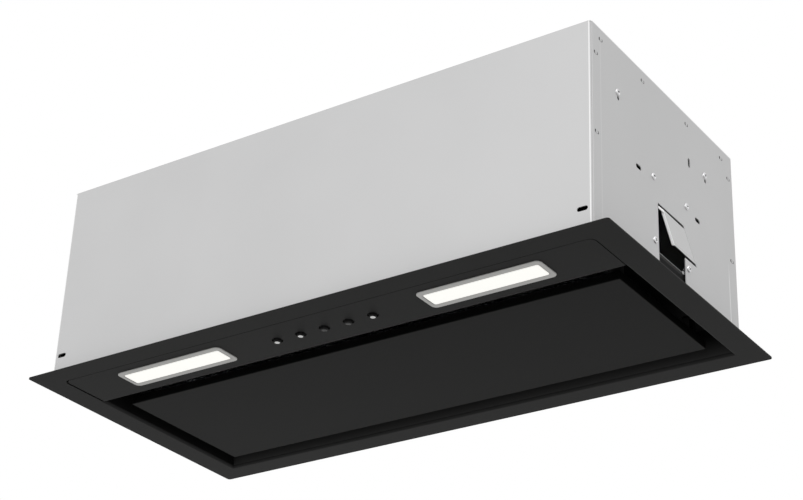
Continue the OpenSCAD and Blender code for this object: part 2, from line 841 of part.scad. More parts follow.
module lamp_diffuser() color(lens_white)
    translate([lamp_x, lamp_row, under_z]) {
        translate([0, 0, -bezel_t - lens_proud]) linear_extrude(neck_h + bezel_t + lens_proud + eps)
            rounded_rect(lens_w - 2 * slide_gap, lens_d - 2 * slide_gap, lens_r - slide_gap);
        translate([0, 0, neck_h]) linear_extrude(diffuser_rim) rounded_rect(neck_w, neck_d, lens_r + neck_t);
    }

module lamp_housing() color(zinc_grey)
    translate([lamp_x, lamp_row, 0]) difference() {
        linear_extrude(lamp_h) rounded_rect(housing_w, housing_d, housing_r);
        translate([0, 0, -cut]) linear_extrude(lamp_h - lamp_wall + cut)
            rounded_rect(housing_w - 2 * lamp_wall, housing_d - 2 * lamp_wall, housing_r - lamp_wall);
    }

module led_board() color(board_green)
    translate([lamp_x, lamp_row, lamp_h - lamp_wall - led_board_t]) {
        block([-neck_w / 2, neck_w / 2], [-lens_d / 2, lens_d / 2], [0, led_board_t]);
        for (i = [0 : led_count - 1]) {
            x = (i - (led_count - 1) / 2) * lens_w / led_count;
            block([x - led_w / 2, x + led_w / 2], [-led_w / 2, led_w / 2], [-led_h, eps]);
        }
    }

module lamp_bezel_right() lamp_bezel();
module lamp_bezel_left() mirrored() lamp_bezel();
module lamp_diffuser_right() lamp_diffuser();
module lamp_diffuser_left() mirrored() lamp_diffuser();
module lamp_housing_right() lamp_housing();
module lamp_housing_left() mirrored() lamp_housing();
module led_board_right() led_board();
module led_board_left() mirrored() led_board();

// A moulded block behind the strip, with a bore for each button and four posts for the switch board
module button_guide() color(plastic_black)
    difference() {
        union() {
            block([button_x - guide_x, button_x + guide_x],
                  [button_row - guide_d / 2, button_row + guide_d / 2], [0, guide_h]);
            for (sx = [-1, 1], sy = [-1, 1])
                translate([button_x + sx * (guide_x - guide_post_inset),
                           button_row + sy * (guide_d / 2 - guide_post_inset), 0])
                    cylinder(r = guide_post_r, h = switch_z + switch_h, $fn = 24);
        }
        for (x = button_xs) translate([x, button_row, -cut]) {
            cylinder(r = button_r + button_clear, h = guide_h + 2 * cut);
            cylinder(r = button_hole_r, h = guide_relief);
        }
    }

module button(i) color(bright_steel)
    translate([button_xs[i], button_row, 0]) {
        translate([0, 0, under_z - button_proud]) {
            cylinder(r1 = button_r - button_chamfer, r2 = button_r, h = button_chamfer);
            translate([0, 0, button_chamfer])
                cylinder(r = button_r, h = button_proud + flange_t + button_seat - button_chamfer + eps);
        }
        translate([0, 0, button_seat]) cylinder(r = button_r + button_collar, h = button_collar_t);
    }

module button_1() button(0);
module button_2() button(1);
module button_3() button(2);
module button_4() button(3);
module button_5() button(4);

module switch_board() color(board_green)
    block([button_x - guide_x, button_x + guide_x], [button_row - guide_d / 2, button_row + guide_d / 2],
          [switch_z + switch_h, switch_z + switch_h + board_t]);

module tact_switches() color(plastic_grey)
    for (x = button_xs) translate([x, button_row, switch_z]) {
        cylinder(r = plunger_r, h = plunger_h + eps, $fn = 24);
        block([-switch_w / 2, switch_w / 2], [-switch_w / 2, switch_w / 2], [plunger_h, switch_h]);
    }

// A hollow box that lies against a side sheet's inner face
module electrical_case() color(plastic_grey)
    difference() {
        block([side_in - case_d, side_in], [case_y0, case_y0 + case_l], [case_z0, case_z0 + case_h]);
        block([side_in - case_d + case_t, side_in - case_t],
              [case_y0 + case_t, case_y0 + case_l - case_t], [case_z0 + case_t, case_z0 + case_h - case_t]);
        side_screw_holes();
    }

module control_box() electrical_case();
module driver_box() mirrored() electrical_case();

module control_board() color(board_green) {
    board_top = board_x + board_post_h + board_t;
    block([board_x + board_post_h, board_top], [case_y0 + board_end, case_y0 + case_l - board_end],
          [case_z0 + board_edge, case_z0 + case_h - board_edge]);
    for (y = [case_y0 + board_post_y, case_y0 + case_l - board_post_y],
         z = [case_z0 + board_post_z, case_z0 + case_h - board_post_z])
        translate([board_x, y, z]) rotate([0, 90, 0])
            cylinder(r = board_post_r, h = board_post_h + eps, $fn = 24);
    for (i = [0 : relay_count - 1]) {
        y = case_y0 + relay_y + relay_pitch * i;
        block([board_top - eps, board_top + relay_h], [y, y + relay_l],
              [case_z0 + relay_z, case_z0 + relay_z + relay_w]);
    }
}

module terminal_box() color(plastic_grey)
    difference() {
        block([terminal_x - terminal_w / 2, terminal_x + terminal_w / 2],
              [terminal_y - terminal_d / 2, terminal_y + terminal_d / 2], [top_in - terminal_h, top_in]);
        block([terminal_x - terminal_w / 2 + case_t, terminal_x + terminal_w / 2 - case_t],
              [terminal_y - terminal_d / 2 + case_t, terminal_y + terminal_d / 2 - case_t],
              [top_in - terminal_h + case_t, top_in - case_t]);
        gland_hole();
    }

module cable_gland() color(plastic_black)
    translate([terminal_x, terminal_y, body_h]) difference() {
        union() {
            cylinder(r = gland_nut_r, h = gland_nut_h, $fn = 6);
            translate([0, 0, gland_nut_h - eps]) cylinder(r = gland_dome_r, h = gland_dome_h);
            translate([0, 0, -gland_thread_l]) cylinder(r = gland_r, h = gland_thread_l + eps);
        }
        translate([0, 0, -gland_thread_l - cut])
            cylinder(r = gland_bore_r, h = gland_thread_l + gland_nut_h + gland_dome_h + 2 * cut);
    }

// The scroll's radius at an angle measured from straight up towards the front
function scroll_r(a) = scroll_r0 + (scroll_r1 - scroll_r0) * (a - scroll_a0) / (scroll_a1 - scroll_a0);
function scroll_points(first, wall) = [
    for (i = [first : scroll_steps])
        let (a = scroll_a0 + i * (scroll_a1 - scroll_a0) / scroll_steps, r = scroll_r(a) + wall)
        [axis_y - r * sin(a), blower_z + r * cos(a)]
];

module scroll_inside_2d(top)
    polygon(concat(scroll_points(0, 0), [[duct_rear, top], [duct_front, top]]));

module scroll_outside_2d(top)
    polygon(concat(
        [[duct_front - scroll_t, blower_z + (scroll_r0 + scroll_t) * cos(scroll_a0)]],
        scroll_points(1, scroll_t), [[duct_rear + scroll_t, top], [duct_front - scroll_t, top]]
    ));

// The right half of the blower's housing: a side plate with an inlet ring, half the wall, and a top flange
module scroll_shell() color(plastic_grey)
    difference() {
        union() {
            difference() {
                yz_sheet(0, scroll_out) scroll_outside_2d(top_in);
                yz_sheet(-cut, scroll_half + cut) scroll_inside_2d(top_in + cut);
            }
            translate([scroll_half - inlet_ring, axis_y, blower_z]) rotate([0, 90, 0])
                cylinder(r = inlet_r + scroll_t, h = inlet_ring + scroll_t);
            difference() {
                block([0, base_w / 2], [collar_y - base_w / 2, collar_y + base_w / 2],
                      [top_in - base_t, top_in]);
                block([-cut, scroll_half + eps], [duct_front, duct_rear],
                      [top_in - base_t - cut, top_in + cut]);
            }
        }
        translate([scroll_half - inlet_ring - cut, axis_y, blower_z]) rotate([0, 90, 0])
            cylinder(r = inlet_r, h = inlet_ring + scroll_t + 2 * cut);
        collar_screw_holes();
    }

module scroll_right() scroll_shell();
module scroll_left() mirrored() scroll_shell();

module at_blower_axis() translate([0, axis_y, blower_z]) rotate([0, 90, 0]) children();

// Two rows of forward-curved blades on a middle disc, with a rim at each end
module impeller() color(zinc_grey)
    at_blower_axis() difference() {
        union() {
            translate([0, 0, -disc_t / 2]) cylinder(r = impeller_r, h = disc_t);
            translate([0, 0, -hub_back]) cylinder(r = hub_r, h = hub_back + hub_front);
            for (i = [0 : blade_count - 1]) rotate([0, 0, i * 360 / blade_count])
                translate([impeller_r - blade_d + blade_bite, 0, -impeller_w / 2]) rotate([0, 0, blade_turn])
                    cube([blade_d - 2 * blade_bite, blade_t, impeller_w]);
            for (s = [-1, 1]) translate([0, 0, s * (impeller_w - rim_t) / 2]) difference() {
                cylinder(r = impeller_r, h = rim_t, center = true);
                cylinder(r = impeller_r - rim_w, h = rim_t + cut, center = true);
            }
        }
        translate([0, 0, -hub_back - cut]) cylinder(r = shaft_r, h = hub_back + hub_front + 2 * cut);
    }

module motor_shaft() color(bright_steel)
    at_blower_axis() translate([0, 0, shaft_tail]) cylinder(r = shaft_r, h = shaft_tip - shaft_tail);

module motor() color(plastic_black)
    at_blower_axis() difference() {
        union() {
            translate([0, 0, motor_back]) cylinder(r = motor_r, h = motor_l);
            translate([0, 0, motor_front - eps]) cylinder(r = motor_nose_r, h = motor_nose_l);
        }
        translate([0, 0, shaft_tail - cut]) cylinder(r = shaft_r + shaft_clear, h = motor_l);
    }

module motor_bracket() color(zinc_grey)
    at_blower_axis() {
        translate([0, 0, -scroll_out - bracket_arm_t]) {
            for (a = [30, 150, 270]) rotate([0, 0, a]) translate([0, -bracket_arm_w / 2, 0])
                cube([inlet_r + bracket_arm_reach, bracket_arm_w, bracket_arm_t]);
            cylinder(r = bracket_hub_r, h = bracket_arm_t);
        }
        translate([0, 0, -scroll_out - eps]) cylinder(r = bracket_boss_r, h = scroll_out + motor_back + eps);
    }

module capacitor() color(bright_steel)
    translate([capacitor_x, capacitor_y, capacitor_top - capacitor_l]) {
        cylinder(r = capacitor_r, h = capacitor_l);
        translate([0, 0, -capacitor_foot_h]) cylinder(r = capacitor_foot_r, h = capacitor_foot_h + eps);
    }

module capacitor_clip() color(zinc_grey)
    translate([capacitor_x, capacitor_y, 0]) {
        leg_x = capacitor_r + clip_gap + clip_t - soft_gap;
        translate([0, 0, clip_z]) difference() {
            cylinder(r = capacitor_r + clip_gap + clip_t, h = clip_h);
            translate([0, 0, -cut]) cylinder(r = capacitor_r + clip_gap, h = clip_h + 2 * cut);
        }
        block([leg_x, leg_x + clip_leg_t], [-clip_h / 2, clip_h / 2], [clip_z, top_in]);
        block([leg_x, leg_x + clip_foot_l], [-clip_h / 2, clip_h / 2], [top_in - clip_leg_t, top_in]);
    }

// The duct spigot on its base plate, with a seat for the two flaps and a hole each side for their pin
module outlet_collar() color(plastic_black)
    difference() {
        union() {
            translate([0, collar_y, body_h]) linear_extrude(base_t) rounded_rect(base_w, base_w, base_r);
            translate([0, collar_y, base_z - eps]) cylinder(r = spigot_r, h = spigot_h + eps, $fn = 128);
        }
        translate([0, collar_y, body_h - cut])
            cylinder(r = spigot_in - seat_w, h = spigot_h + base_t + 2 * cut, $fn = 128);
        translate([0, collar_y, pin_z - flap_t / 2 - soft_gap])
            cylinder(r = spigot_in, h = spigot_h, $fn = 128);
        block([-spigot_in, spigot_in], [collar_y - knuckle_r - cut, collar_y + knuckle_r + cut],
              [body_h - cut, pin_z]);
        at_flap_axis() cylinder(r = flap_pin_r + pin_grip, h = 2 * (spigot_r + cut), center = true, $fn = 24);
        collar_screw_holes();
    }

module at_flap_axis() translate([0, collar_y, pin_z]) rotate([0, 90, 0]) children();

module flap_pin() color(bright_steel)
    at_flap_axis() cylinder(r = flap_pin_r, h = 2 * (spigot_r - soft_gap), center = true, $fn = 24);

// Half a disc towards local -Y, with knuckles on the given stretches of the pin
module flap(knuckles)
    difference() {
        union() {
            intersection() {
                cylinder(r = flap_r, h = flap_t, center = true, $fn = 128);
                block([-flap_r, flap_r], [-flap_r, -knuckle_r - flap_split], [-flap_t, flap_t]);
            }
            for (k = knuckles) {
                translate([k[0], 0, 0]) rotate([0, 90, 0]) cylinder(r = knuckle_r, h = k[1] - k[0], $fn = 32);
                block([k[0], k[1]], [-knuckle_r - flap_split - eps, 0], [-flap_t / 2, flap_t / 2]);
            }
        }
        rotate([0, 90, 0]) cylinder(r = flap_pin_r + flap_clear, h = 2 * spigot_r, center = true, $fn = 32);
    }

module flap_front() color(plastic_black) translate([0, collar_y, pin_z]) flap(knuckles_front);
module flap_rear() color(plastic_black) translate([0, collar_y, pin_z]) mirror([0, 1, 0]) flap(knuckles_rear);

// A cassette frame with a channel through its front bar for the latch
module filter_frame() color(zinc_grey)
    difference() {
        block([filter_x0, filter_x0 + filter_w], [filter_front, filter_rear],
              [filter_z, filter_z + filter_t]);
        block([filter_x0 + filter_bar, filter_x0 + filter_w - filter_bar],
              [filter_front + filter_bar, filter_rear - filter_bar],
              [filter_z - cut, filter_z + filter_t + cut]);
        block([filter_mid - latch_w / 2 - slide_gap, filter_mid + latch_w / 2 + slide_gap],
              [filter_front - cut, filter_front + filter_bar + cut],
              [latch_z - slide_gap, latch_z + latch_t + slide_gap]);
        block([filter_mid - tab_w / 2 - tab_gap, filter_mid + tab_w / 2 + tab_gap],
              [tab_y - tab_gap, filter_front + filter_bar + cut], [filter_z - cut, latch_z]);
    }

module filter_mesh() color(zinc_grey) {
    x0 = filter_x0 + filter_bar;
    y0 = filter_front + filter_bar;
    w = filter_w - 2 * filter_bar;
    d = filter_d - 2 * filter_bar;
    hole = min(w / mesh_nx, d / mesh_ny) * mesh_fill;
    difference() {
        block([x0, x0 + w], [y0, y0 + d], [mesh_z, mesh_z + mesh_t]);
        for (i = [0 : mesh_nx - 1], j = [0 : mesh_ny - 1])
            translate([x0 + w * (i + 0.5) / mesh_nx, y0 + d * (j + 0.5) / mesh_ny, mesh_z + mesh_t / 2])
                rotate([0, 0, 45]) cube([hole, hole, mesh_t + cut], center = true);
    }
}

// A sliding bolt over the front rail, with a finger tab below the frame
module filter_latch() color(plastic_black) {
    block([filter_mid - latch_w / 2, filter_mid + latch_w / 2], [latch_tip, latch_tail],
          [latch_z, latch_z + latch_t]);
    block([filter_mid - tab_w / 2, filter_mid + tab_w / 2], [tab_y, tab_y + tab_d],
          [filter_z - tab_drop, latch_z + eps]);
}

module filter_frame_right() filter_frame();
module filter_frame_left() mirrored() filter_frame();
module filter_mesh_right() filter_mesh();
module filter_mesh_left() mirrored() filter_mesh();
module filter_latch_right() filter_latch();
module filter_latch_left() mirrored() filter_latch();

module filter_rails() color(flange_black) {
    rail_x = filter_x0 + filter_w;
    rear_top = filter_z - slide_gap;
    front_top = latch_z - soft_gap;
    block([-rail_x, rail_x], [filter_rear - rear_rail_hold, tray_rear], [rear_top - rail_t, rear_top]);
    block([-rail_x, rail_x], [tray_rear - rail_t, tray_rear], [rear_top - eps, deck_z]);
    for (s = [-1, 1]) scale([s, 1, 1]) {
        block([filter_mid - latch_w, filter_mid + latch_w], [tray_front, filter_front - front_rail_gap],
              [front_top - rail_t, front_top]);
        block([filter_mid - latch_w, filter_mid + latch_w], [tray_front, tray_front + front_rail_leg],
              [front_top - eps, deck_z]);
    }
}

module hinge_cut(low, y0)
    for (s = [-1, 1])
        block([s * hinge_x - hinge_notch, s * hinge_x + hinge_notch], [y0, panel_rear + cut],
              [low, panel_top + cut]);

// The panel's face with its four edges folded up, notched at the hinge arms
module panel_face() color(flange_black)
    difference() {
        block([-panel_x, panel_x], [panel_front, panel_rear], [panel_z, panel_top]);
        block([-panel_x + panel_t, panel_x - panel_t], [panel_front + panel_t, panel_rear - panel_t],
              [panel_z + panel_t, panel_top + cut]);
        hinge_cut(panel_z + panel_t, panel_rear - 2 * panel_t);
    }

// The panel's back plate, with the ears that hold the hinge pins
module panel_backing() color(flange_black) {
    inset = panel_t + backing_gap;
    difference() {
        union() {
            difference() {
                block([-panel_x + inset, panel_x - inset], [panel_front + inset, panel_rear - inset],
                      [panel_top - panel_t, panel_top]);
                hinge_cut(panel_top - 2 * panel_t, hinge_y - hinge_notch_d);
            }
            for (s = [-1, 1], e = [-1, 1]) {
                x = s * hinge_x + e * (hinge_notch + ear_t / 2);
                block([x - ear_t / 2, x + ear_t / 2], [hinge_y - ear_d / 2, hinge_y + ear_d / 2],
                      [panel_z + panel_t, panel_top - panel_t + eps]);
            }
        }
        at_hinge_axis() cylinder(r = hinge_pin_r + pin_grip, h = 2 * panel_x, center = true, $fn = 32);
    }
}

module at_hinge_axis() translate([0, hinge_y, hinge_z]) rotate([0, 90, 0]) children();

module hinge_pins() color(bright_steel)
    for (s = [-1, 1]) translate([s * hinge_x, 0, 0]) at_hinge_axis()
        cylinder(r = hinge_pin_r, h = 2 * (hinge_notch + ear_t), center = true, $fn = 32);

module hinge_brackets() color(flange_black)
    for (s = [-1, 1]) translate([s * hinge_x, 0, 0]) difference() {
        union() {
            block([-hinge_arm_w / 2, hinge_arm_w / 2], [hinge_y - hinge_arm_d / 2, hinge_y + hinge_arm_d / 2],
                  [hinge_z, deck_z]);
            translate([-hinge_arm_w / 2, 0, 0]) at_hinge_axis()
                cylinder(r = hinge_arm_r, h = hinge_arm_w, $fn = 32);
            block([-hinge_pad_w / 2, hinge_pad_w / 2], [hinge_y - hinge_pad_d / 2, hinge_y + hinge_pad_d / 2],
                  [deck_z - hinge_pad_t, deck_z]);
        }
        at_hinge_axis()
            cylinder(r = hinge_pin_r + pin_clear, h = hinge_arm_w + 2 * cut, center = true, $fn = 32);
    }

module catch_magnets() color(plastic_black)
    for (s = [-1, 1]) translate([s * hinge_x, catch_row, panel_top + strike_t + slide_gap])
        cylinder(r = magnet_r, h = deck_z - panel_top - strike_t - slide_gap, $fn = 32);

module strike_plates() color(bright_steel)
    for (s = [-1, 1])
        block([s * hinge_x - strike_w / 2, s * hinge_x + strike_w / 2],
              [catch_row - strike_d / 2, catch_row + strike_d / 2], [panel_top, panel_top + strike_t]);

// The tongue leans out of the side window and turns about its slanted root. Its free edge is bent inwards, and
// a finger reaches forward from its top.
module side_tongue() color(casing_grey)
    translate([side_in + sheet_t / 2, front_y + window_y + tongue_start + tongue_len, tongue_top])
        rotate(a = -tongue_tilt, v = [0, tongue_run, -tongue_h]) {
            yz_sheet(-sheet_t / 2, sheet_t) raked(-tongue_len, tongue_len);
            translate([0, -tongue_len, 0]) {
                tongue_edge();
                rotate([0, 0, -finger_turn])
                    block([-sheet_t / 2, sheet_t / 2], [finger_gap - tongue_start, sheet_t], [-finger_h, 0]);
            }
        }

// The bend along the tongue's free edge, cut level with its top and bottom
module tongue_edge()
    intersection() {
        rotate([atan(tongue_rake), 0, 0]) linear_extrude(4 * tongue_h, center = true)
            translate([sheet_t / 2 - tongue_bend_r, eps]) mirror([1, 0]) bend_2d(tongue_bend_r, sheet_t);
        block([-2 * tongue_bend_r, sheet_t], [-tongue_bend_r - cut, tongue_run + cut], [-tongue_h, 0]);
    }

// The tongue's raked outline: a parallelogram whose top edge starts at y and is w long
module raked(y, w)
    polygon([[y, 0], [y + w, 0], [y + w + tongue_run, -tongue_h], [y + tongue_run, -tongue_h]]);

module side_tongue_right() side_tongue();
module side_tongue_left() mirrored() side_tongue();

// A plate behind the side sheet that stiffens it round the window
module side_bracket() color(zinc_grey)
    difference() {
        port_x = [side_in - bracket_t - cut, side_in + cut];
        port_front = front_y + window_y - cut;
        block([side_in - bracket_t, side_in], [plate_y, plate_y + plate_d], [plate_z0, plate_z1]);
        block(port_x, [port_front, plate_y + plate_port_d], [window_low_z - cut, plate_port_top]);
        block(port_x, [port_front, front_y + window_y + window_w + cut], [plate_z0 - cut, window_low_z]);
        level_slot_cuts(level_slot_rim);
        side_screw_holes();
    }

module side_bracket_right() side_bracket();
module side_bracket_left() mirrored() side_bracket();

front_sheet();
rear_sheet();
left_side_sheet();
right_side_sheet();
top_plate();
casing_rivets();
pan_screws();
flange_frame();
recess_tray();
control_strip();
lamp_bezel_left();
lamp_bezel_right();
lamp_diffuser_left();
lamp_diffuser_right();
led_board_left();
led_board_right();
lamp_housing_left();
lamp_housing_right();
button_guide();
button_1();
button_2();
button_3();
button_4();
button_5();
switch_board();
tact_switches();
control_box();
control_board();
driver_box();
terminal_box();
cable_gland();
scroll_left();
scroll_right();
impeller();
motor_shaft();
motor();
motor_bracket();
capacitor();
capacitor_clip();
outlet_collar();
flap_front();
flap_rear();
flap_pin();
filter_frame_left();
filter_frame_right();
filter_mesh_left();
filter_mesh_right();
filter_latch_left();
filter_latch_right();
filter_rails();
panel_face();
panel_backing();
hinge_pins();
hinge_brackets();
catch_magnets();
strike_plates();
side_tongue_left();
side_tongue_right();
side_bracket_left();
side_bracket_right();
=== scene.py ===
# A range hood insert: a pale sheet casing on a black flange, with two lamps, five buttons and a hinged
# panel. The sections follow the hood as it is put together. Lengths are in metres, and MM turns
# millimetres into them.

import json
import math
import bmesh
import bpy
from mathutils import Matrix, Vector


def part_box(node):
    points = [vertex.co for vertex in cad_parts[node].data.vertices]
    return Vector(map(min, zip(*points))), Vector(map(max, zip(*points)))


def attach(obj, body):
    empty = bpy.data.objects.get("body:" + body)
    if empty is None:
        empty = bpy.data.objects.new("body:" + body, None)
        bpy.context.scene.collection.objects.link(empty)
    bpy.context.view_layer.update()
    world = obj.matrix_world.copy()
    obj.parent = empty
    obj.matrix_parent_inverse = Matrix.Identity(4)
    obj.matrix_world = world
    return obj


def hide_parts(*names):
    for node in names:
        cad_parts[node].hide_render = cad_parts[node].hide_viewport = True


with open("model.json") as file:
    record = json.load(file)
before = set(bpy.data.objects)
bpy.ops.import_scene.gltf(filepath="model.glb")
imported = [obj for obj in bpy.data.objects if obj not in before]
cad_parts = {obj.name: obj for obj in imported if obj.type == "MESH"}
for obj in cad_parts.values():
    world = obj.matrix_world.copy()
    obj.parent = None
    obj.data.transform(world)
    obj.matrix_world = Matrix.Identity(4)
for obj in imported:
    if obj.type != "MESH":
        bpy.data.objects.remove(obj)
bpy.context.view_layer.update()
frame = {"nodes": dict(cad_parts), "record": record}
hood = frame["nodes"]
MM = 0.001

# The camera stands low in front of the hood's right corner and looks up at it, turned a little about its
# own axis. The hood hangs over a pale floor, as high as above a hob, in an even white room with two soft
# lamps.
camera_place = Vector((0.88768, -1.23663, -0.68209))
camera_right = Vector((0.82532, 0.56345, 0.03702)).normalized()
camera_ahead = Vector((-0.51328, 0.72128, 0.46509)).normalized()
camera_up = camera_right.cross(camera_ahead).normalized()
camera_right = camera_ahead.cross(camera_up)
camera = bpy.data.objects.new("camera", bpy.data.cameras.new("camera"))
bpy.context.scene.collection.objects.link(camera)
turn = Matrix((camera_right, camera_up, -camera_ahead)).transposed()
camera.matrix_world = Matrix.Translation(camera_place) @ turn.to_4x4()
camera.data.sensor_width = 36
camera.data.lens = 84.863
camera.data.clip_start = 0.05
camera.data.clip_end = 100
bpy.context.scene.camera = camera
bpy.context.scene.view_settings.view_transform = "Standard"


class Wire:
    """One shader value. Sums and products of wires add Math nodes, and node() adds any other kind."""

    def __init__(self, tree, socket=None):
        self.tree = tree
        self.socket = socket

    def node(self, kind, settings=None, inputs=None, output=0):
        made = self.tree.nodes.new(kind)
        for name, value in (settings or {}).items():
            if name == "stops":
                ramp = made.color_ramp
                while len(ramp.elements) < len(value):
                    ramp.elements.new(0.5)
                for element, (place, tone) in zip(ramp.elements, value):
                    element.position = place
                    element.color = (*tone, 1) if isinstance(tone, tuple) else (tone, tone, tone, 1)
            else:
                setattr(made, name, value)
        for name, value in (inputs or {}).items():
            self.plug(value, made.inputs[name])
        return Wire(self.tree, made.outputs[output] if made.outputs else None)

    def plug(self, value, socket):
        if isinstance(value, Wire):
            self.tree.links.new(value.socket, socket)
        elif isinstance(value, tuple) and len(value) == 3 and socket.type == "RGBA":
            socket.default_value = (*value, 1)
        else:
            socket.default_value = value

    def math(self, operation, first, second=0.0):
        return self.node("ShaderNodeMath", {"operation": operation}, {0: first, 1: second})

    def __add__(self, other):
        return self.math("ADD", self, other)

    def __radd__(self, other):
        return self.math("ADD", other, self)

    def __sub__(self, other):
        return self.math("SUBTRACT", self, other)

    def __rsub__(self, other):
        return self.math("SUBTRACT", other, self)

    def __mul__(self, other):
        return self.math("MULTIPLY", self, other)

    def __rmul__(self, other):
        return self.math("MULTIPLY", other, self)

    def under(self, limit):
        return self.math("LESS_THAN", self, limit)

    def over(self, limit):
        return self.math("GREATER_THAN", self, limit)

    def __abs__(self):
        return self.math("ABSOLUTE", self)

    def at_least(self, other):
        return self.math("MAXIMUM", self, other)

    def blend(self, low, high):
        """The tone between two colours that this value picks."""
        return self.node("ShaderNodeMix", {"data_type": "RGBA"}, {0: self, 6: low, 7: high}, output=2)

    def ramp(self, *stops):
        return self.node("ShaderNodeValToRGB", {"stops": stops}, {0: self})

    def part(self, axis):
        return self.node("ShaderNodeSeparateXYZ", None, {"Vector": self}, output=axis)

    def noise(self, scale, detail=2.0):
        return self.node("ShaderNodeTexNoise", None, {"Vector": self, "Scale": scale, "Detail": detail})

    def bump(self, strength, depth):
        return self.node("ShaderNodeBump", None, {"Strength": strength, "Distance": depth, "Height": self})


room = bpy.data.worlds.new("room")
bpy.context.scene.world = room
room.use_nodes = True
room.node_tree.nodes.clear()
air = Wire(room.node_tree)
ray = {name: air.node("ShaderNodeLightPath", output=name) for name in
       ("Is Camera Ray", "Is Glossy Ray", "Is Transmission Ray")}
seen = ray["Is Camera Ray"].at_least(ray["Is Glossy Ray"]).at_least(ray["Is Transmission Ray"])
ROOM_LIGHT = 0.70
sky_light = seen * (1 - ROOM_LIGHT) + ROOM_LIGHT
sky = air.node("ShaderNodeBackground", inputs={"Color": (1, 1, 1), "Strength": sky_light})
air.node("ShaderNodeOutputWorld", inputs={"Surface": sky})


def finish(name, **sockets):
    """A material whose Principled shader takes the given numbers, with that shader's sockets and a wire at
    the object's own coordinates. The caller plugs in what varies."""
    made = bpy.data.materials.new(name)
    made.use_nodes = True
    tree = made.node_tree
    shader = tree.nodes["Principled BSDF"]
    for socket, value in sockets.items():
        Wire(tree).plug(value, shader.inputs[socket.replace("_", " ")])
    place = Wire(tree).node("ShaderNodeTexCoord", output="Object")
    return made, shader.inputs, place


floor_paint, floor_inputs, on_floor = finish("floor_paint", Roughness=0.9)
speckle = on_floor.noise(3.0, 4.0)
on_floor.plug(speckle.blend((0.78, 0.78, 0.77), (0.82, 0.82, 0.81)), floor_inputs["Base Color"])
FLOOR_Z = -2.9
FLOOR_REACH = 14
floor_mesh = bpy.data.meshes.new("floor")
SQUARE = ((-1, -1), (1, -1), (1, 1), (-1, 1))
floor_corners = [(x * FLOOR_REACH, y * FLOOR_REACH, FLOOR_Z) for x, y in SQUARE]
floor_mesh.from_pydata(floor_corners, [], [(0, 1, 2, 3)])
floor_mesh.materials.append(floor_paint)
floor = bpy.data.objects.new("floor", floor_mesh)
bpy.context.scene.collection.objects.link(floor)


def soft_lamp(name, place, aim, size, power):
    """A large square lamp that faces a point of the hood."""
    light = bpy.data.lights.new(name, "AREA")
    light.size = size
    light.energy = power
    stand = bpy.data.objects.new(name, light)
    stand.location = place
    stand.rotation_euler = (Vector(aim) - Vector(place)).to_track_quat("-Z", "Y").to_euler()
    bpy.context.scene.collection.objects.link(stand)


soft_lamp("front_lamp", (0.0, -3.0, 0.9), (0, 0, 0.1), 2.0, 27)
soft_lamp("corner_lamp", (2.0, -1.7, 1.4), (0.28, -0.13, 0.1), 0.6, 11)

# The casing is folded from 0.8 mm steel sheet with a pale metallic grey coat: a front and a rear sheet
# whose bent edges lie behind the two side sheets, and a plate on top. Its sheared edges are broken a
# little, and its coat has a fine grain.
def grey(value):
    return (value, value, value)


FRONT_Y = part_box("front_sheet")[0].y
HALF_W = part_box("right_side_sheet")[1].x
TOP_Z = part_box("right_side_sheet")[1].z
SHEET_IN = 0.4 * MM
BEND_X = 2.5 * MM
BEND_Y = 0.3 * MM
EDGE_W = 0.8 * MM
SEAM_HIGHLIGHTS = ((14.9 * MM, 0.25, 190 * MM), (239.9 * MM, 1.0, 80 * MM))
SEAM_W = 1.2 * MM
SEAM_FADE = 20 * MM
TOP_EDGE_HIGHLIGHT = 0.5
PAINTED_HIGHLIGHT = 0.82
casing_paint, casing_inputs, on_casing = finish("casing_paint", Metallic=0.08, Specular_IOR_Level=0.5)
clouds = on_casing.noise(7.0, 3.0)
grain = on_casing.noise(1600.0)
coat_tone = (clouds * 0.7 + grain * 0.3).ramp((0.3, (0.545, 0.545, 0.548)), (0.7, (0.58, 0.58, 0.583)))
# Painted highlights: the bend at each front corner, the side sheets' top edges and two seam lines on each
# side are painted lighter. The seam lines fade out towards their given heights.
beyond = abs(on_casing.part("X"))
on_side = beyond.over(HALF_W - SHEET_IN)
bend_highlight = beyond.over(HALF_W - BEND_X) * on_casing.part("Y").under(FRONT_Y + BEND_Y)
painted_highlights = (on_side * on_casing.part("Z").over(TOP_Z - EDGE_W) * TOP_EDGE_HIGHLIGHT).at_least(bend_highlight)
for back, strength, height in SEAM_HIGHLIGHTS:
    off = abs(on_casing.part("Y") - (FRONT_Y + back))
    fading = ((height - on_casing.part("Z")) * (1 / SEAM_FADE)).at_least(0)
    fading = 1 - (1 - fading).at_least(0)
    painted_highlights = painted_highlights.at_least((1 - off * (1 / SEAM_W)) * on_side * fading * strength)
on_casing.plug(painted_highlights.blend(coat_tone, grey(PAINTED_HIGHLIGHT)), casing_inputs["Base Color"])
on_casing.plug(grain * 0.1 + 0.36, casing_inputs["Roughness"])
on_casing.plug(grain.bump(0.08, 0.0001), casing_inputs["Normal"])


def smooth(shape, angle=40):
    """Round faces shade as round, and edges sharper than the angle stay sharp."""
    shape.polygons.foreach_set("use_smooth", [True] * len(shape.polygons))
    shape.set_sharp_from_angle(angle=math.radians(angle))


def fit(name, shape, material, body, nodes=()):
    """Puts a finished mesh into the hood: its material, what it rides on and the nodes it stands for."""
    shape.materials.clear()
    shape.materials.append(material)
    piece = bpy.data.objects.new(name, shape)
    bpy.context.scene.collection.objects.link(piece)
    normals = piece.modifiers.new("normals", "WEIGHTED_NORMAL")
    normals.keep_sharp = True
    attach(piece, body)
    if nodes:
        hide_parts(*nodes)


def body_with(node):
    return next(body for body, names in frame["record"]["behaviour"]["bodies"].items() if node in names)


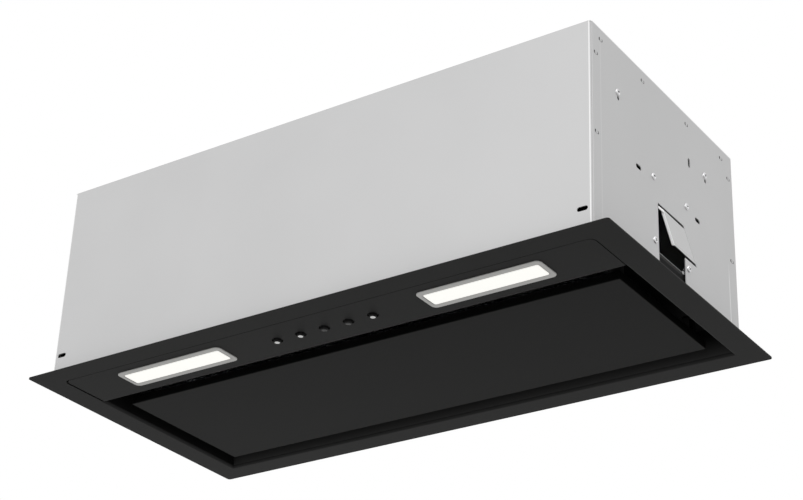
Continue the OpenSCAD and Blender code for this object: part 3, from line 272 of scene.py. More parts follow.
def packed(node):
    """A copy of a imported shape, without the extra edges on its flat faces."""
    mesh = bmesh.new()
    mesh.from_mesh(hood[node].data)
    bmesh.ops.remove_doubles(mesh, verts=mesh.verts, dist=1e-6)
    bmesh.ops.dissolve_limit(mesh, angle_limit=math.radians(0.5), verts=mesh.verts, edges=mesh.edges)
    return mesh


def broken_edges(mesh, name, width, sharp=35):
    """A mesh with every sharp edge rounded off by a width."""
    bmesh.ops.recalc_face_normals(mesh, faces=mesh.faces)
    edges = [e for e in mesh.edges if len(e.link_faces) == 2 and e.calc_face_angle(0) > math.radians(sharp)]
    bmesh.ops.bevel(mesh, geom=edges, offset=width, segments=2, profile=0.5, affect="EDGES",
                    clamp_overlap=True)
    shape = bpy.data.meshes.new(name)
    mesh.to_mesh(shape)
    mesh.free()
    smooth(shape)
    return shape


def dress(nodes, width, material, ending):
    for node in nodes:
        fit(node + ending, broken_edges(packed(node), node, width), material, body_with(node), [node])


PILOTS = ((44.0, 140.1), (200.0, 140.1))
PILOT_R = 1.4 * MM
PILOT_GROWTH = 1.35
SHEET_EDGE = 0.18 * MM
for node in ("left_side_sheet", "right_side_sheet"):
    side_sheet = packed(node)
    for corner in side_sheet.verts:
        for back, height in PILOTS:
            middle = Vector((corner.co.x, FRONT_Y + back * MM, height * MM))
            if (corner.co - middle).length < 1.1 * PILOT_R:
                corner.co = middle + (corner.co - middle) * PILOT_GROWTH
    folded = broken_edges(side_sheet, node, SHEET_EDGE)
    fit(node + "_folded", folded, casing_paint, "root", [node])
dress(("front_sheet", "rear_sheet", "top_plate"), SHEET_EDGE, casing_paint, "_folded")

# Clinched rivets hold the sheets together: low round heads with a dimple, pressed through both sheets and
# coated with the casing. The press shears the sheet at the head's two ends; each slit is a flat dark lozenge
# laid on the sheet, a painted shade.
def lumps(node):
    """The lowest and highest corners of each separate solid of a node, in order of their places."""
    mesh = bmesh.new()
    mesh.from_mesh(hood[node].data)
    bmesh.ops.remove_doubles(mesh, verts=mesh.verts, dist=1e-6)
    left = set(mesh.verts)
    found = []
    while left:
        front, group = [left.pop()], []
        while front:
            corner = front.pop()
            group.append(corner.co.copy())
            for edge in corner.link_edges:
                other = edge.other_vert(corner)
                if other in left:
                    left.remove(other)
                    front.append(other)
        found.append((Vector(map(min, *group)), Vector(map(max, *group))))
    mesh.free()
    return sorted(found, key=lambda box: tuple(round(value, 5) for value in box[0]))


def turned(mesh, outline, place, steps=32, ring=False):
    """Adds a shape turned on a lathe: pairs of radius and height along the place's own Z. A radius may be a
    function of the angle. A ring's outline joins its own start."""
    rows = []
    for radius, height in outline:
        if radius == 0:
            rows.append([mesh.verts.new(place @ Vector((0, 0, height)))])
            continue
        rows.append([])
        for i in range(steps):
            a = math.tau * i / steps
            reach = radius(a) if callable(radius) else radius
            point = Vector((reach * math.cos(a), reach * math.sin(a), height))
            rows[-1].append(mesh.verts.new(place @ point))
    for low, high in zip(rows, rows[1:] + (rows[:1] if ring else [])):
        for i in range(steps):
            j = (i + 1) % steps
            if len(low) == 1 and len(high) > 1:
                mesh.faces.new((low[0], high[j], high[i]))
            elif len(high) == 1 and len(low) > 1:
                mesh.faces.new((low[i], low[j], high[0]))
            elif len(low) > 1:
                mesh.faces.new((low[i], low[j], high[j], high[i]))


def to_mesh(mesh, name, angle=40):
    bmesh.ops.recalc_face_normals(mesh, faces=mesh.faces)
    shape = bpy.data.meshes.new(name)
    mesh.to_mesh(shape)
    mesh.free()
    smooth(shape, angle)
    return shape


def scaled(points):
    return [tuple(MM * value for value in point) for point in points]


SLIT_APART = 2.1 * MM
out_of_side = {side: Matrix.Rotation(side * math.pi / 2, 4, "Y") for side in (-1, 1)}
rivet_profile = scaled((
    (0, -2.1), (1.3, -2.1), (1.6, -1.95), (1.6, -1.6), (1.15, -1.6), (1.15, -0.05), (1.9, -0.05), (1.9, 0.12),
    (1.75, 0.3), (1.5, 0.38), (1.2, 0.36), (0.9, 0.2), (0.6, 0.05), (0.3, 0), (0, 0)))
# Each slit is a flat dark lozenge on the sheet: painted shade.
slit_profile = scaled(((0, -0.05), (1, -0.05), (1, 0.14), (0.9, 0.2), (0, 0.2)))
slit_shape = Matrix.Diagonal((1.4, 0.7, 1, 1))
slit_shade, slit_inputs, on_slit = finish("slit_shade", Roughness=0.7, Specular_IOR_Level=0.1)
shade_mottle = on_slit.noise(900.0)
on_slit.plug(shade_mottle.blend(grey(0.012), grey(0.03)), slit_inputs["Base Color"])
rivets = bmesh.new()
slits = bmesh.new()
for low, high in lumps("casing_rivets"):
    middle = (low + high) / 2
    side = 1 if middle.x > 0 else -1
    seat = Matrix.Translation((side * HALF_W, middle.y, middle.z)) @ out_of_side[side]
    turned(rivets, rivet_profile, seat, 24)
    for end in (-1, 1):
        turned(slits, slit_profile, seat @ Matrix.Translation((0, end * SLIT_APART, 0)) @ slit_shape, 16)
rivet_heads = to_mesh(rivets, "clinched_rivets")
fit("clinched_rivets", rivet_heads, casing_paint, "root", ["casing_rivets"])
fit("clinch_slit_shade", to_mesh(slits, "clinch_slit_shade"), slit_shade, "root")

# Pan-head screws of bright zinc-plated steel hold the side plates, the electrical boxes, the duct spigot and
# the deck. Each has a low domed head with a cross recess and a threaded shank; a dark liner laid in the
# bottom of the recess is painted shade.
screw_zinc, screw_inputs, on_screw = finish("bright_zinc", Metallic=1.0)
film = on_screw.noise(500.0, 3.0)
on_screw.plug(film.blend((0.68, 0.68, 0.69), (0.80, 0.80, 0.81)), screw_inputs["Base Color"])
on_screw.plug(film * 0.1 + 0.16, screw_inputs["Roughness"])


def cross_slot(a, half_long=1.75 * MM, half_wide=0.5 * MM):
    """How far a cross recess reaches from its middle at an angle."""
    a = abs((a + math.pi / 4) % (math.pi / 2) - math.pi / 4)
    return half_long / math.cos(a) if math.tan(a) < half_wide / half_long else half_wide / math.sin(a)


def screw_blank(length):
    """A screw with its seat at the origin and its shank towards -Z."""
    recess = [(0, 0.6 * MM), (lambda a: 0.45 * cross_slot(a), 0.6 * MM), (cross_slot, 1.5 * MM)]
    head = [(1.95, 1.42), (2.3, 1.25), (2.75, 0.9), (3.05, 0.45), (3.1, 0.1), (3.0, 0), (1.6, 0)]
    thread = []
    depth = 0.35
    while depth < length - 0.9:
        thread += [(1.72, -depth), (1.5, -depth - 0.3)]
        depth += 0.6
    end = [(1.45, -length + 0.6), (0.9, -length), (0, -length)]
    mesh = bmesh.new()
    turned(mesh, recess + scaled(head + thread + end), Matrix.Identity(4), 60)
    return to_mesh(mesh, "screw")


def recess_floor(length):
    """A dark liner at the bottom of a screw's cross recess: painted shade."""
    mesh = bmesh.new()
    low = (lambda a: 0.5 * cross_slot(a), 0.7 * MM)
    rim = (lambda a: 0.9 * cross_slot(a), 1.3 * MM)
    turned(mesh, [(0, 0.7 * MM), low, rim, (0, 1.3 * MM)], Matrix.Identity(4), 60)
    return to_mesh(mesh, "recess")


def copies(blank, name):
    """One mesh with a copy of a blank in the place of each screw."""
    mesh = bmesh.new()
    for length, places in sorted(screw_places.items()):
        shape = blank(length)
        for place in places:
            before = len(mesh.verts)
            mesh.from_mesh(shape)
            mesh.verts.ensure_lookup_table()
            bmesh.ops.transform(mesh, matrix=place, verts=mesh.verts[before:])
    return to_mesh(mesh, name)


SCREW_SEAT = 1.6 * MM
SCREW_HEAD_W = 6.3 * MM
SCREW_TURN = 0.7
screw_places = {}
for count, (low, high) in enumerate(lumps("pan_screws")):
    middle = (low + high) / 2
    if high.x - low.x > SCREW_HEAD_W:
        side = 1 if middle.x > 0 else -1
        seat = Matrix.Translation((side * HALF_W, middle.y, middle.z)) @ out_of_side[side]
        length = high.x - low.x - SCREW_SEAT
    else:
        seat = Matrix.Translation((middle.x, middle.y, high.z - SCREW_SEAT))
        length = high.z - low.z - SCREW_SEAT
    driven = seat @ Matrix.Rotation(SCREW_TURN * count, 4, "Z")
    screw_places.setdefault(round(length / MM, 1), []).append(driven)
screws = copies(screw_blank, "pan_head_screws")
fit("pan_head_screws", screws, screw_zinc, "root", ["pan_screws"])
fit("screw_recess_shade", copies(recess_floor, "screw_recess_shade"), slit_shade, "root")

# A spring tongue of its own strip of steel is welded behind each side window. It leans out a little, its
# slanted free edge is folded in, and a finger reaches forward from its top. The fold and the finger are
# painted near white and less metallic: a painted highlight.
TONGUE_T = 0.8
TONGUE_TILT = math.radians(1)
TONGUE_RAKE = 0.76
TONGUE_LEN = 38.13
TONGUE_H = 23.7
TONGUE_LIFT = 0.8
ROOT_BACK = 156.73
FOLD_R = 1.2
FOLD = math.radians(48)
FOLD_FLAT = 1.6
FOLD_START = -37.9
FOLD_HIGHLIGHT_W = -0.4
TONGUE_EDGE = 0.12 * MM
FINGER_TIP, FINGER_ROOT = -9.2, 0.8
FINGER_H = 2.4
FINGER_TURN = math.radians(-3)
stretch = math.hypot(1, TONGUE_RAKE)
tongue_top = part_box("side_tongue_right")[1].z
tongue_paint, tongue_inputs, on_tongue = finish("tongue_paint", Specular_IOR_Level=0.5)
sheen = on_tongue.noise(1500.0)
edge_sum = FRONT_Y + MM * (ROOT_BACK - TONGUE_LEN + FOLD_HIGHLIGHT_W) + TONGUE_RAKE * tongue_top
# Painted highlight: the fold and the finger, beyond a raked line, are near white.
fold_highlight = (on_tongue.part("Y") + on_tongue.part("Z") * TONGUE_RAKE).under(edge_sum)
tongue_tone = sheen.blend(grey(0.50), grey(0.54))
on_tongue.plug(fold_highlight.blend(tongue_tone, grey(0.97)), tongue_inputs["Base Color"])
on_tongue.plug(0.75 - fold_highlight * 0.5, tongue_inputs["Metallic"])
on_tongue.plug(sheen * 0.08 + 0.30, tongue_inputs["Roughness"])
FOLD_STEPS = 6
bent = [(0, 0, 0)]
for step in range(FOLD_STEPS + 1):
    a = FOLD * step / FOLD_STEPS
    bent.append((-FOLD_R * (1 - math.cos(a)), FOLD_START - stretch * FOLD_R * math.sin(a), a))
tip_x = bent[-1][0] - FOLD_FLAT * math.sin(FOLD)
bent.append((tip_x, bent[-1][1] - stretch * FOLD_FLAT * math.cos(FOLD), FOLD))
half = TONGUE_T / 2
outline = [(x + half * math.cos(a), y - half * math.sin(a)) for x, y, a in bent]
outline += [(x - half * math.cos(a), y + half * math.sin(a)) for x, y, a in reversed(bent)]
finger = ((-half, FINGER_ROOT), (-half, FINGER_TIP), (half, FINGER_TIP), (half, FINGER_ROOT))
finger_turn = Matrix.Translation((0, -TONGUE_LEN, 0)) @ Matrix.Rotation(FINGER_TURN, 4, "Z")


def prism(mesh, rings):
    """A closed solid between two rings of points."""
    low, high = ([mesh.verts.new(point) for point in ring] for ring in rings)
    for i in range(len(low)):
        j = (i + 1) % len(low)
        mesh.faces.new((low[i], low[j], high[j], high[i]))
    mesh.faces.new(low)
    mesh.faces.new(high)


for side, name in ((-1, "side_tongue_left"), (1, "side_tongue_right")):
    lean = Matrix.Rotation(-TONGUE_TILT, 4, Vector((0, TONGUE_RAKE, -1)))
    root = Matrix.Translation((HALF_W - half * MM, FRONT_Y + ROOT_BACK * MM, tongue_top))
    place = Matrix.Diagonal((side, 1, 1, 1)) @ (root @ lean @ Matrix.Scale(MM, 4))
    leaf = bmesh.new()
    prism(leaf, [[place @ Vector((x, y - TONGUE_RAKE * z, z)) for x, y in outline]
                 for z in (-TONGUE_H, TONGUE_LIFT)])
    prism(leaf, [[place @ finger_turn @ Vector((x, y, z)) for x, y in finger]
                 for z in (TONGUE_LIFT - FINGER_H, TONGUE_LIFT)])
    sprung = broken_edges(leaf, name, TONGUE_EDGE)
    fit(name + "_sprung", sprung, tongue_paint, body_with(name), [name])

# A plate of galvanised steel behind each side sheet stiffens it round the window. Four pan screws hold
# it. The zinc has large flat crystals, which differ a little in tone and gloss.
zinc, zinc_inputs, on_zinc = finish("zinc_plate", Metallic=0.85)
spangle = on_zinc.node("ShaderNodeTexVoronoi", {"feature": "F1"}, {"Vector": on_zinc, "Scale": 160.0},
                       output="Color")
cell = on_zinc.node("ShaderNodeSeparateColor", None, {"Color": spangle})
on_zinc.plug(cell.blend((0.42, 0.43, 0.45), (0.56, 0.57, 0.59)), zinc_inputs["Base Color"])
on_zinc.plug(cell * 0.14 + 0.32, zinc_inputs["Roughness"])
dress(("side_bracket_left", "side_bracket_right"), 0.15 * MM, zinc, "_galvanised")

# The flange is 1.2 mm steel sheet with a black powder coat: a flat frame whose edges turn up into the
# recess. The control strip, a channel of the same sheet, closes the frame at the front and holds the
# lamps and buttons.
tray_low, tray_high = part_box("recess_tray")
WALL_IN = 1.4 * MM
INSIDE_Z = 1.4 * MM
LIT_H = 22 * MM
SHADED_BLACK = 0.0055
LIT_BLACK = 0.045
black_coat, black_inputs, on_black = finish("black_powder_coat", Specular_IOR_Level=0.1)
peel = on_black.noise(900.0, 3.0)
drift = on_black.noise(11.0)
black_tone = (peel * 0.5 + drift * 0.5).ramp((0.3, 0.0118), (0.7, 0.0150))
# Painted shade and light: inside the recess the coat is painted near black as shade. On the rear wall it is
# painted lighter near the opening, fading upwards, as the light that falls in there.
inside = on_black.part("Z").over(INSIDE_Z)
at_rear = on_black.part("Y").over(tray_high.y - WALL_IN)
lit = (1 - on_black.part("Z") * (1 / LIT_H)).at_least(0) * at_rear
inside_tone = lit.blend(grey(SHADED_BLACK), grey(LIT_BLACK))
on_black.plug(inside.blend(black_tone, inside_tone), black_inputs["Base Color"])
on_black.plug(peel * 0.16 + 0.44, black_inputs["Roughness"])
on_black.plug(peel.bump(0.2, 0.00015), black_inputs["Normal"])
dress(("flange_frame", "control_strip"), 0.12 * MM, black_coat, "_coated")

# The recess tray stands on the flange's turned edges: four walls and a deck with a hem at each side, of black
# sheet with a dull coat. A strip of bright metal laid along each hem's top edge is a painted highlight, and a
# bright stud stands on each hem. Two rails under the deck carry the filters.
# Painted shade: this dull coat is set darker than the flange's black, for the parts that sit in the shade
# inside the recess.
tray_coat, tray_inputs, on_tray = finish("tray_coat", Specular_IOR_Level=0.05)
dust_and_shade = on_tray.noise(700.0, 3.0)
on_tray.plug(dust_and_shade.blend(grey(0.0050), grey(0.0085)), tray_inputs["Base Color"])
on_tray.plug(dust_and_shade * 0.14 + 0.55, tray_inputs["Roughness"])
dress(("recess_tray",), 0.25 * MM, black_coat, "_coated")
dress(("filter_rails",), 0.25 * MM, tray_coat, "_coated")
hem_highlight_and_stud, edge_inputs, on_edge = finish("hem_highlight_and_stud", Metallic=0.8)
edge_mottle = on_edge.noise(1200.0, 3.0)
on_edge.plug(edge_mottle.blend(grey(0.32), grey(0.55)), edge_inputs["Base Color"])
on_edge.plug(edge_mottle * 0.2 + 0.4, edge_inputs["Roughness"])
HEM_T = 1.2 * MM
HEM_EDGE = 0.45 * MM
HEM_LIP = 0.04 * MM
HEM_ROUND = 0.1 * MM
HEM_STUD = (20.4, 31.6)
APRON_IN = 0.05 * MM
APRON_END = 3 * MM
# The strip over the hem's top edge is a painted highlight.
hem_section = ((-HEM_LIP, HEM_EDGE), (-HEM_LIP, HEM_ROUND), (HEM_ROUND, -HEM_LIP),
               (HEM_T - HEM_ROUND, -HEM_LIP), (HEM_T + HEM_LIP, HEM_ROUND), (HEM_T + HEM_LIP, HEM_EDGE))
stud_outline = scaled(((0, -0.8), (1.7, -0.8), (1.7, 0.2), (1.3, 0.5), (0, 0.6)))
edges = bmesh.new()
apron = bmesh.new()
for side in (-1, 1):
    prism(edges, [[(side * (tray_high.x - across), y, tray_high.z - down) for across, down in hem_section]
                  for y in (tray_low.y + HEM_EDGE, tray_high.y - HEM_EDGE)])
    stud = Matrix.Translation((side * tray_high.x, HEM_STUD[0] * MM, HEM_STUD[1] * MM)) @ out_of_side[side]
    turned(edges, stud_outline, stud, 24)
    near, far = side * (tray_high.x - APRON_IN), side * (tray_high.x - HEM_T)
    front, rear = tray_low.y + MM, tray_high.y - MM
    prism(apron, [[(near, front, z), (far, front, z), (far, rear, z), (near, rear, z)]
                  for z in (APRON_END, tray_high.z - APRON_END)])
fit("hem_highlights_and_studs", to_mesh(edges, "hem_highlights_and_studs"), hem_highlight_and_stud, "root")
fit("deck_aprons", to_mesh(apron, "deck_aprons"), tray_coat, "root")

# Each lamp is a silver-grey moulded bezel that clips into a slot of the strip, and an opal diffuser in
# its window, which stands out a little. The bezel's rim and its window's edge are rounded.
bezel_grey, bezel_inputs, on_bezel = finish("bezel_grey", Metallic=0.35, Specular_IOR_Level=0.4)
flake = on_bezel.noise(2600.0, 1.0)
on_bezel.plug(flake.blend((0.46, 0.455, 0.445), (0.56, 0.555, 0.545)), bezel_inputs["Base Color"])
on_bezel.plug(flake * 0.1 + 0.3, bezel_inputs["Roughness"])
opal, opal_inputs, on_opal = finish("opal_diffuser", Roughness=0.35, Specular_IOR_Level=0.3,
                                    Emission_Strength=0.68)
glow = on_opal.noise(60.0)
on_opal.plug(glow.blend((0.46, 0.46, 0.44), (0.50, 0.50, 0.48)), opal_inputs["Base Color"])
on_opal.plug((1.0, 0.99, 0.95), opal_inputs["Emission Color"])


def rounded_outline(size, radius, inset, height, centre, steps=7):
    """Points at one height round a rectangle with round corners, drawn in by an inset."""
    half_x = size[0] / 2 - inset
    half_y = size[1] / 2 - inset
    bend = max(radius - inset, 0.15)
    points = []
    for quarter, (sx, sy) in enumerate(((1, 1), (-1, 1), (-1, -1), (1, -1))):
        for step in range(steps + 1):
            a = math.pi / 2 * (quarter + step / steps)
            x = sx * (half_x - bend) + bend * math.cos(a)
            y = sy * (half_y - bend) + bend * math.sin(a)
            points.append((centre.x + MM * x, centre.y + MM * y, centre.z + MM * height))
    return points


def through(size, radius, section, centre):
    """One outline for each pair of inset and height in a section."""
    return [rounded_outline(size, radius, inset, height, centre) for inset, height in section]


def skin(name, outlines, closed, angle=35):
    """A surface through a row of equal outlines. It closes on itself, or its ends are capped."""
    mesh = bmesh.new()
    rows = [[mesh.verts.new(point) for point in outline] for outline in outlines]
    count = len(rows[0])
    for low, high in zip(rows, rows[1:] + (rows[:1] if closed else [])):
        for i in range(count):
            j = (i + 1) % count
            mesh.faces.new((low[i], low[j], high[j], high[i]))
    if not closed:
        mesh.faces.new(rows[0])
        mesh.faces.new(rows[-1])
    return to_mesh(mesh, name, angle)


BEZEL = (117.5, 30.5)
BEZEL_T = 0.9
BEZEL_R = 5
WINDOW = (108.5, 18.8)
WINDOW_R = 2
LENS_GAP = 0.2
LENS_TOP = 5.4
NECK = 2.4
NECK_TOP = 4.2
rim_section = ((0.0, 0.0), (0.0, -0.45), (0.12, -0.72), (0.4, -0.88), (0.8, -0.9), (4.0, -0.9))
window_section = ((-0.9, -0.9), (-0.35, -0.78), (-0.05, -0.45), (0.0, 0.0), (0.0, NECK_TOP))
lens_section = ((3.0, -1.2), (1.2, -1.18), (0.5, -1.1), (0.12, -0.9), (0.0, -0.55), (0.0, NECK_TOP))
neck_size = (WINDOW[0] + 2 * NECK, WINDOW[1] + 2 * NECK)
neck_r = WINDOW_R + NECK
lens_size = (WINDOW[0] - 2 * LENS_GAP, WINDOW[1] - 2 * LENS_GAP)
for side in ("left", "right"):
    low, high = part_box("lamp_bezel_" + side)
    middle = Vector(((low.x + high.x) / 2, (low.y + high.y) / 2, low.z + BEZEL_T * MM))
    outlines = through(BEZEL, BEZEL_R, rim_section, middle)
    outlines += through(WINDOW, WINDOW_R, window_section, middle)
    outlines += through(neck_size, neck_r, ((0, NECK_TOP), (0, 0)), middle)
    bezel = skin("bezel", outlines, True)
    fit("bezel_" + side, bezel, bezel_grey, "root", ["lamp_bezel_" + side])
    outlines = through(lens_size, WINDOW_R - LENS_GAP, lens_section, middle)
    outlines += through(neck_size, neck_r, ((0, NECK_TOP), (0, LENS_TOP)), middle)
    lens = skin("diffuser", outlines, False)
    fit("diffuser_" + side, lens, opal, "root", ["lamp_diffuser_" + side])

# A board of eight diodes lights each diffuser from behind, in a folded housing of galvanised steel that
# stands on the strip. The boards are glass fibre with a green lacquer over copper tracks.
board_green, board_inputs, on_board = finish("circuit_board", Specular_IOR_Level=0.5)
weave = on_board.node("ShaderNodeTexVoronoi", {"feature": "DISTANCE_TO_EDGE"},
                      {"Vector": on_board, "Scale": 260.0})
on_board.plug(weave.under(0.06).blend((0.012, 0.085, 0.03), (0.03, 0.16, 0.06)), board_inputs["Base Color"])
on_board.plug(weave * 0.1 + 0.3, board_inputs["Roughness"])
dress(("lamp_housing_left", "lamp_housing_right"), 0.3 * MM, zinc, "_folded")
dress(("led_board_left", "led_board_right"), 0.08 * MM, board_green, "_soldered")

# Five push buttons: black moulded stems with rounded shoulders, each with a small chrome disc set in its end,
# and a collar that keeps it in. The discs of the third and fourth are a near black copy of the chrome:
# painted shade in place of their darker reflection.
stem_black, stem_inputs, on_stem = finish("stem_black", Specular_IOR_Level=0.15)
matt = on_stem.noise(1400.0)
on_stem.plug(matt.blend(grey(0.006), grey(0.011)), stem_inputs["Base Color"])
on_stem.plug(matt * 0.1 + 0.45, stem_inputs["Roughness"])
chrome, chrome_inputs, on_chrome = finish("button_chrome", Metallic=1.0)
haze = on_chrome.noise(700.0)
on_chrome.plug(haze.blend((0.80, 0.80, 0.81), grey(0.9)), chrome_inputs["Base Color"])
on_chrome.plug(haze * 0.08 + 0.08, chrome_inputs["Roughness"])
shaded_chrome, shaded_chrome_inputs, on_shaded_chrome = finish("shaded_chrome", Metallic=0.9)
shaded_mottle = on_shaded_chrome.noise(700.0)
on_shaded_chrome.plug(shaded_mottle.blend(grey(0.045), grey(0.075)), shaded_chrome_inputs["Base Color"])
on_shaded_chrome.plug(shaded_mottle * 0.1 + 0.3, shaded_chrome_inputs["Roughness"])
DISC_R = 2.3
stem_end = ((0, 0.3), (DISC_R, 0.3), (DISC_R, 0.12), (2.5, 0.12), (2.9, 0.3), (3.2, 0.75), (3.35, 1.4))
disc_outline = scaled(((0, 0.0), (DISC_R - 0.5, 0.02), (DISC_R - 0.15, 0.08), (DISC_R - 0.02, 0.2),
                       (DISC_R - 0.02, 0.3), (0, 0.3)))
for number in range(1, 6):
    node = "button_%d" % number
    low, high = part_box(node)
    tall = (high.z - low.z) / MM
    seat = Matrix.Translation(((low.x + high.x) / 2, (low.y + high.y) / 2, low.z))
    stem = bmesh.new()
    back = ((3.35, tall - 1.2), (4.4, tall - 1.2), (4.4, tall - 0.1), (4.3, tall), (0, tall))
    turned(stem, scaled(stem_end + back), seat, 48)
    fit(node + "_stem", to_mesh(stem, node), stem_black, node, [node])
    disc = bmesh.new()
    turned(disc, disc_outline, seat, 48)
    # The third and fourth discs take the near black copy of the chrome: painted shade.
    disc_metal = shaded_chrome if number in (3, 4) else chrome
    fit(node + "_disc", to_mesh(disc, node), disc_metal, node)

# The buttons slide in a black moulded guide on the back of the strip. It is glass-filled nylon, which
# comes out of the mould with a fine even spark finish. A board with five grey tact switches stands on its
# posts.
nylon, nylon_inputs, on_nylon = finish("black_nylon", Specular_IOR_Level=0.35)
spark = on_nylon.noise(2200.0)
on_nylon.plug(spark.blend(grey(0.012), grey(0.020)), nylon_inputs["Base Color"])
on_nylon.plug(spark * 0.15 + 0.48, nylon_inputs["Roughness"])
on_nylon.plug(spark.bump(0.25, 0.0001), nylon_inputs["Normal"])
grey_shell, grey_inputs, on_grey = finish("grey_moulding", Specular_IOR_Level=0.4)
mist = on_grey.noise(1500.0)
on_grey.plug(mist.blend((0.19, 0.20, 0.21), (0.24, 0.25, 0.26)), grey_inputs["Base Color"])
on_grey.plug(mist * 0.12 + 0.45, grey_inputs["Roughness"])
dress(("button_guide",), 0.2 * MM, nylon, "_moulded")
dress(("tact_switches",), 0.15 * MM, grey_shell, "_moulded")
dress(("switch_board",), 0.08 * MM, board_green, "_soldered")

# The control box lies behind the right side sheet and the driver box behind the left one: closed black
# mouldings, each held by two case screws. The control box holds the board with the relays for the lamps
# and the motor.
dress(("control_box", "driver_box"), 0.6 * MM, nylon, "_moulded")
dress(("control_board",), 0.08 * MM, board_green, "_soldered")

# The mains cord comes in through a black nylon gland on top: a six-sided nut with a ribbed dome. Its
# thread goes through the top plate into the terminal box, a grey moulding.
dress(("terminal_box",), 0.6 * MM, grey_shell, "_moulded")
low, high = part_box("cable_gland")
NUT_FLAT = 9.8 * MM
DOME_R = 8.5 * MM
THREAD_R = 7.9 * MM
GLAND_BORE = 4.2 * MM
THREAD_PITCH = 0.76 * MM
THREAD_DEPTH = 0.45 * MM
THREAD_TURNS = 10
RIB_DEPTH = 0.35 * MM


def six_sided(a):
    return NUT_FLAT / math.cos((a + math.pi / 6) % (math.pi / 3) - math.pi / 6)


def ribbed(a):
    return DOME_R - RIB_DEPTH * (math.cos(24 * a) < 0)


thread = []
for turn_count in range(THREAD_TURNS):
    thread += [(THREAD_R - THREAD_DEPTH, low.z + 0.4 * MM + THREAD_PITCH * turn_count),
               (THREAD_R, low.z + 0.78 * MM + THREAD_PITCH * turn_count)]
nut_z = low.z + 8 * MM
gland_outline = [(GLAND_BORE, low.z), (THREAD_R - THREAD_DEPTH, low.z)] + thread
gland_outline += [
    (THREAD_R, nut_z), (six_sided, nut_z), (six_sided, nut_z + 3.7 * MM), (9.4 * MM, nut_z + 4 * MM),
    (DOME_R, nut_z + 4 * MM), (ribbed, nut_z + 4.6 * MM), (ribbed, high.z - 3 * MM),
    (7.4 * MM, high.z - 0.9 * MM), (6.2 * MM, high.z), (GLAND_BORE, high.z)]
gland = bmesh.new()
gland_place = Matrix.Translation(((low.x + high.x) / 2, (low.y + high.y) / 2, 0))
turned(gland, gland_outline, gland_place, 96, ring=True)
fit("gland_threaded", to_mesh(gland, "gland"), nylon, "root", ["cable_gland"])

# The blower's housing is a scroll in two moulded halves, each with an inlet ring in its side plate and a
# flange on top, where four screws clamp it to the top plate and the spigot.
dress(("scroll_left", "scroll_right"), 0.5 * MM, grey_shell, "_moulded")

# The impeller draws air in at both ends: 32 blades of thin galvanised strip, curved forwards, are
# clenched into a middle disc and two rolled rims. Its hub grips a ground steel shaft.
low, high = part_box("impeller")
axle = Matrix.Translation((low + high) / 2) @ Matrix.Rotation(math.pi / 2, 4, "Y")
wheel_r = (high.z - low.z) / 2
wheel_l = (high.x - low.x) / 2
BLADES = 32
BLADE_STEPS = 7
BLADE_DEPTH = 9.2 * MM
BLADE_LEAN = 0.19
BLADE_T = 0.35 * MM
HUB_R = 12 * MM
SHAFT_R = 4 * MM
RIM_IN = 0.6 * MM
wheel = bmesh.new()
for blade in range(BLADES):
    ends = []
    for height in (-wheel_l + MM, wheel_l - MM):
        outer, inner = [], []
        for step in range(BLADE_STEPS):
            t = step / (BLADE_STEPS - 1)
            radius = wheel_r - RIM_IN - BLADE_DEPTH * (1 - t)
            a = math.tau * blade / BLADES + BLADE_LEAN * t * t
            lean = a + math.atan(2 * BLADE_LEAN * t * radius / BLADE_DEPTH)
            for row, half in ((outer, BLADE_T), (inner, -BLADE_T)):
                x = radius * math.cos(a) - half * math.sin(lean)
                y = radius * math.sin(a) + half * math.cos(lean)
                row.append(axle @ Vector((x, y, height)))
        ends.append(outer + inner[::-1])
    prism(wheel, ends)
disc_r = wheel_r - 0.5 * MM
hub = [(SHAFT_R, -5 * MM), (HUB_R, -5 * MM), (HUB_R, -MM), (disc_r, -MM), (disc_r, MM), (HUB_R, MM),
       (HUB_R, 7 * MM), (SHAFT_R, 7 * MM)]
turned(wheel, hub, axle, 96, ring=True)
for end in (-1, 1):
    rim = [(wheel_r - across, end * (wheel_l - down)) for across, down in scaled(
        ((0.4, 0.0), (3.6, 0.0), (4.0, 0.4), (4.0, 1.6), (3.6, 2.0), (0.4, 2.0), (0.0, 1.6), (0.0, 0.4)))]
    turned(wheel, rim, axle, 96, ring=True)
fit("impeller_clenched", to_mesh(wheel, "impeller"), zinc, body_with("impeller"), ["impeller"])
dress(("motor_shaft",), 0.4 * MM, screw_zinc, "_ground")

# The motor sits inside the impeller's left half: a lacquered steel can with ribs along its side, a
# ventilated end and a nose round the shaft. A three-armed zinc-plated bracket across the inlet holds its
# back.
lacquer, lacquer_inputs, on_lacquer = finish("motor_lacquer", Specular_IOR_Level=0.5)
runs = on_lacquer.noise(300.0, 3.0)
on_lacquer.plug(runs.blend((0.018, 0.018, 0.02), (0.03, 0.03, 0.032)), lacquer_inputs["Base Color"])
on_lacquer.plug(runs * 0.15 + 0.3, lacquer_inputs["Roughness"])
low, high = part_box("motor")
can_r = (high.z - low.z) / 2
can_l = high.x - low.x - 2 * MM
can_end = Vector((low.x, (low.y + high.y) / 2, (low.z + high.z) / 2))
can_axle = Matrix.Translation(can_end) @ Matrix.Rotation(math.pi / 2, 4, "Y")
CAN_BORE = SHAFT_R + 0.1 * MM
SIDE_RIBS = 20
VENTS = 10


def side_ribs(a):
    return can_r - 1.1 * MM * (math.cos(SIDE_RIBS * a) < -0.2)


def vent_ribs(a):
    return can_r * (0.8 - 0.3 * (math.cos(VENTS * a) < 0))


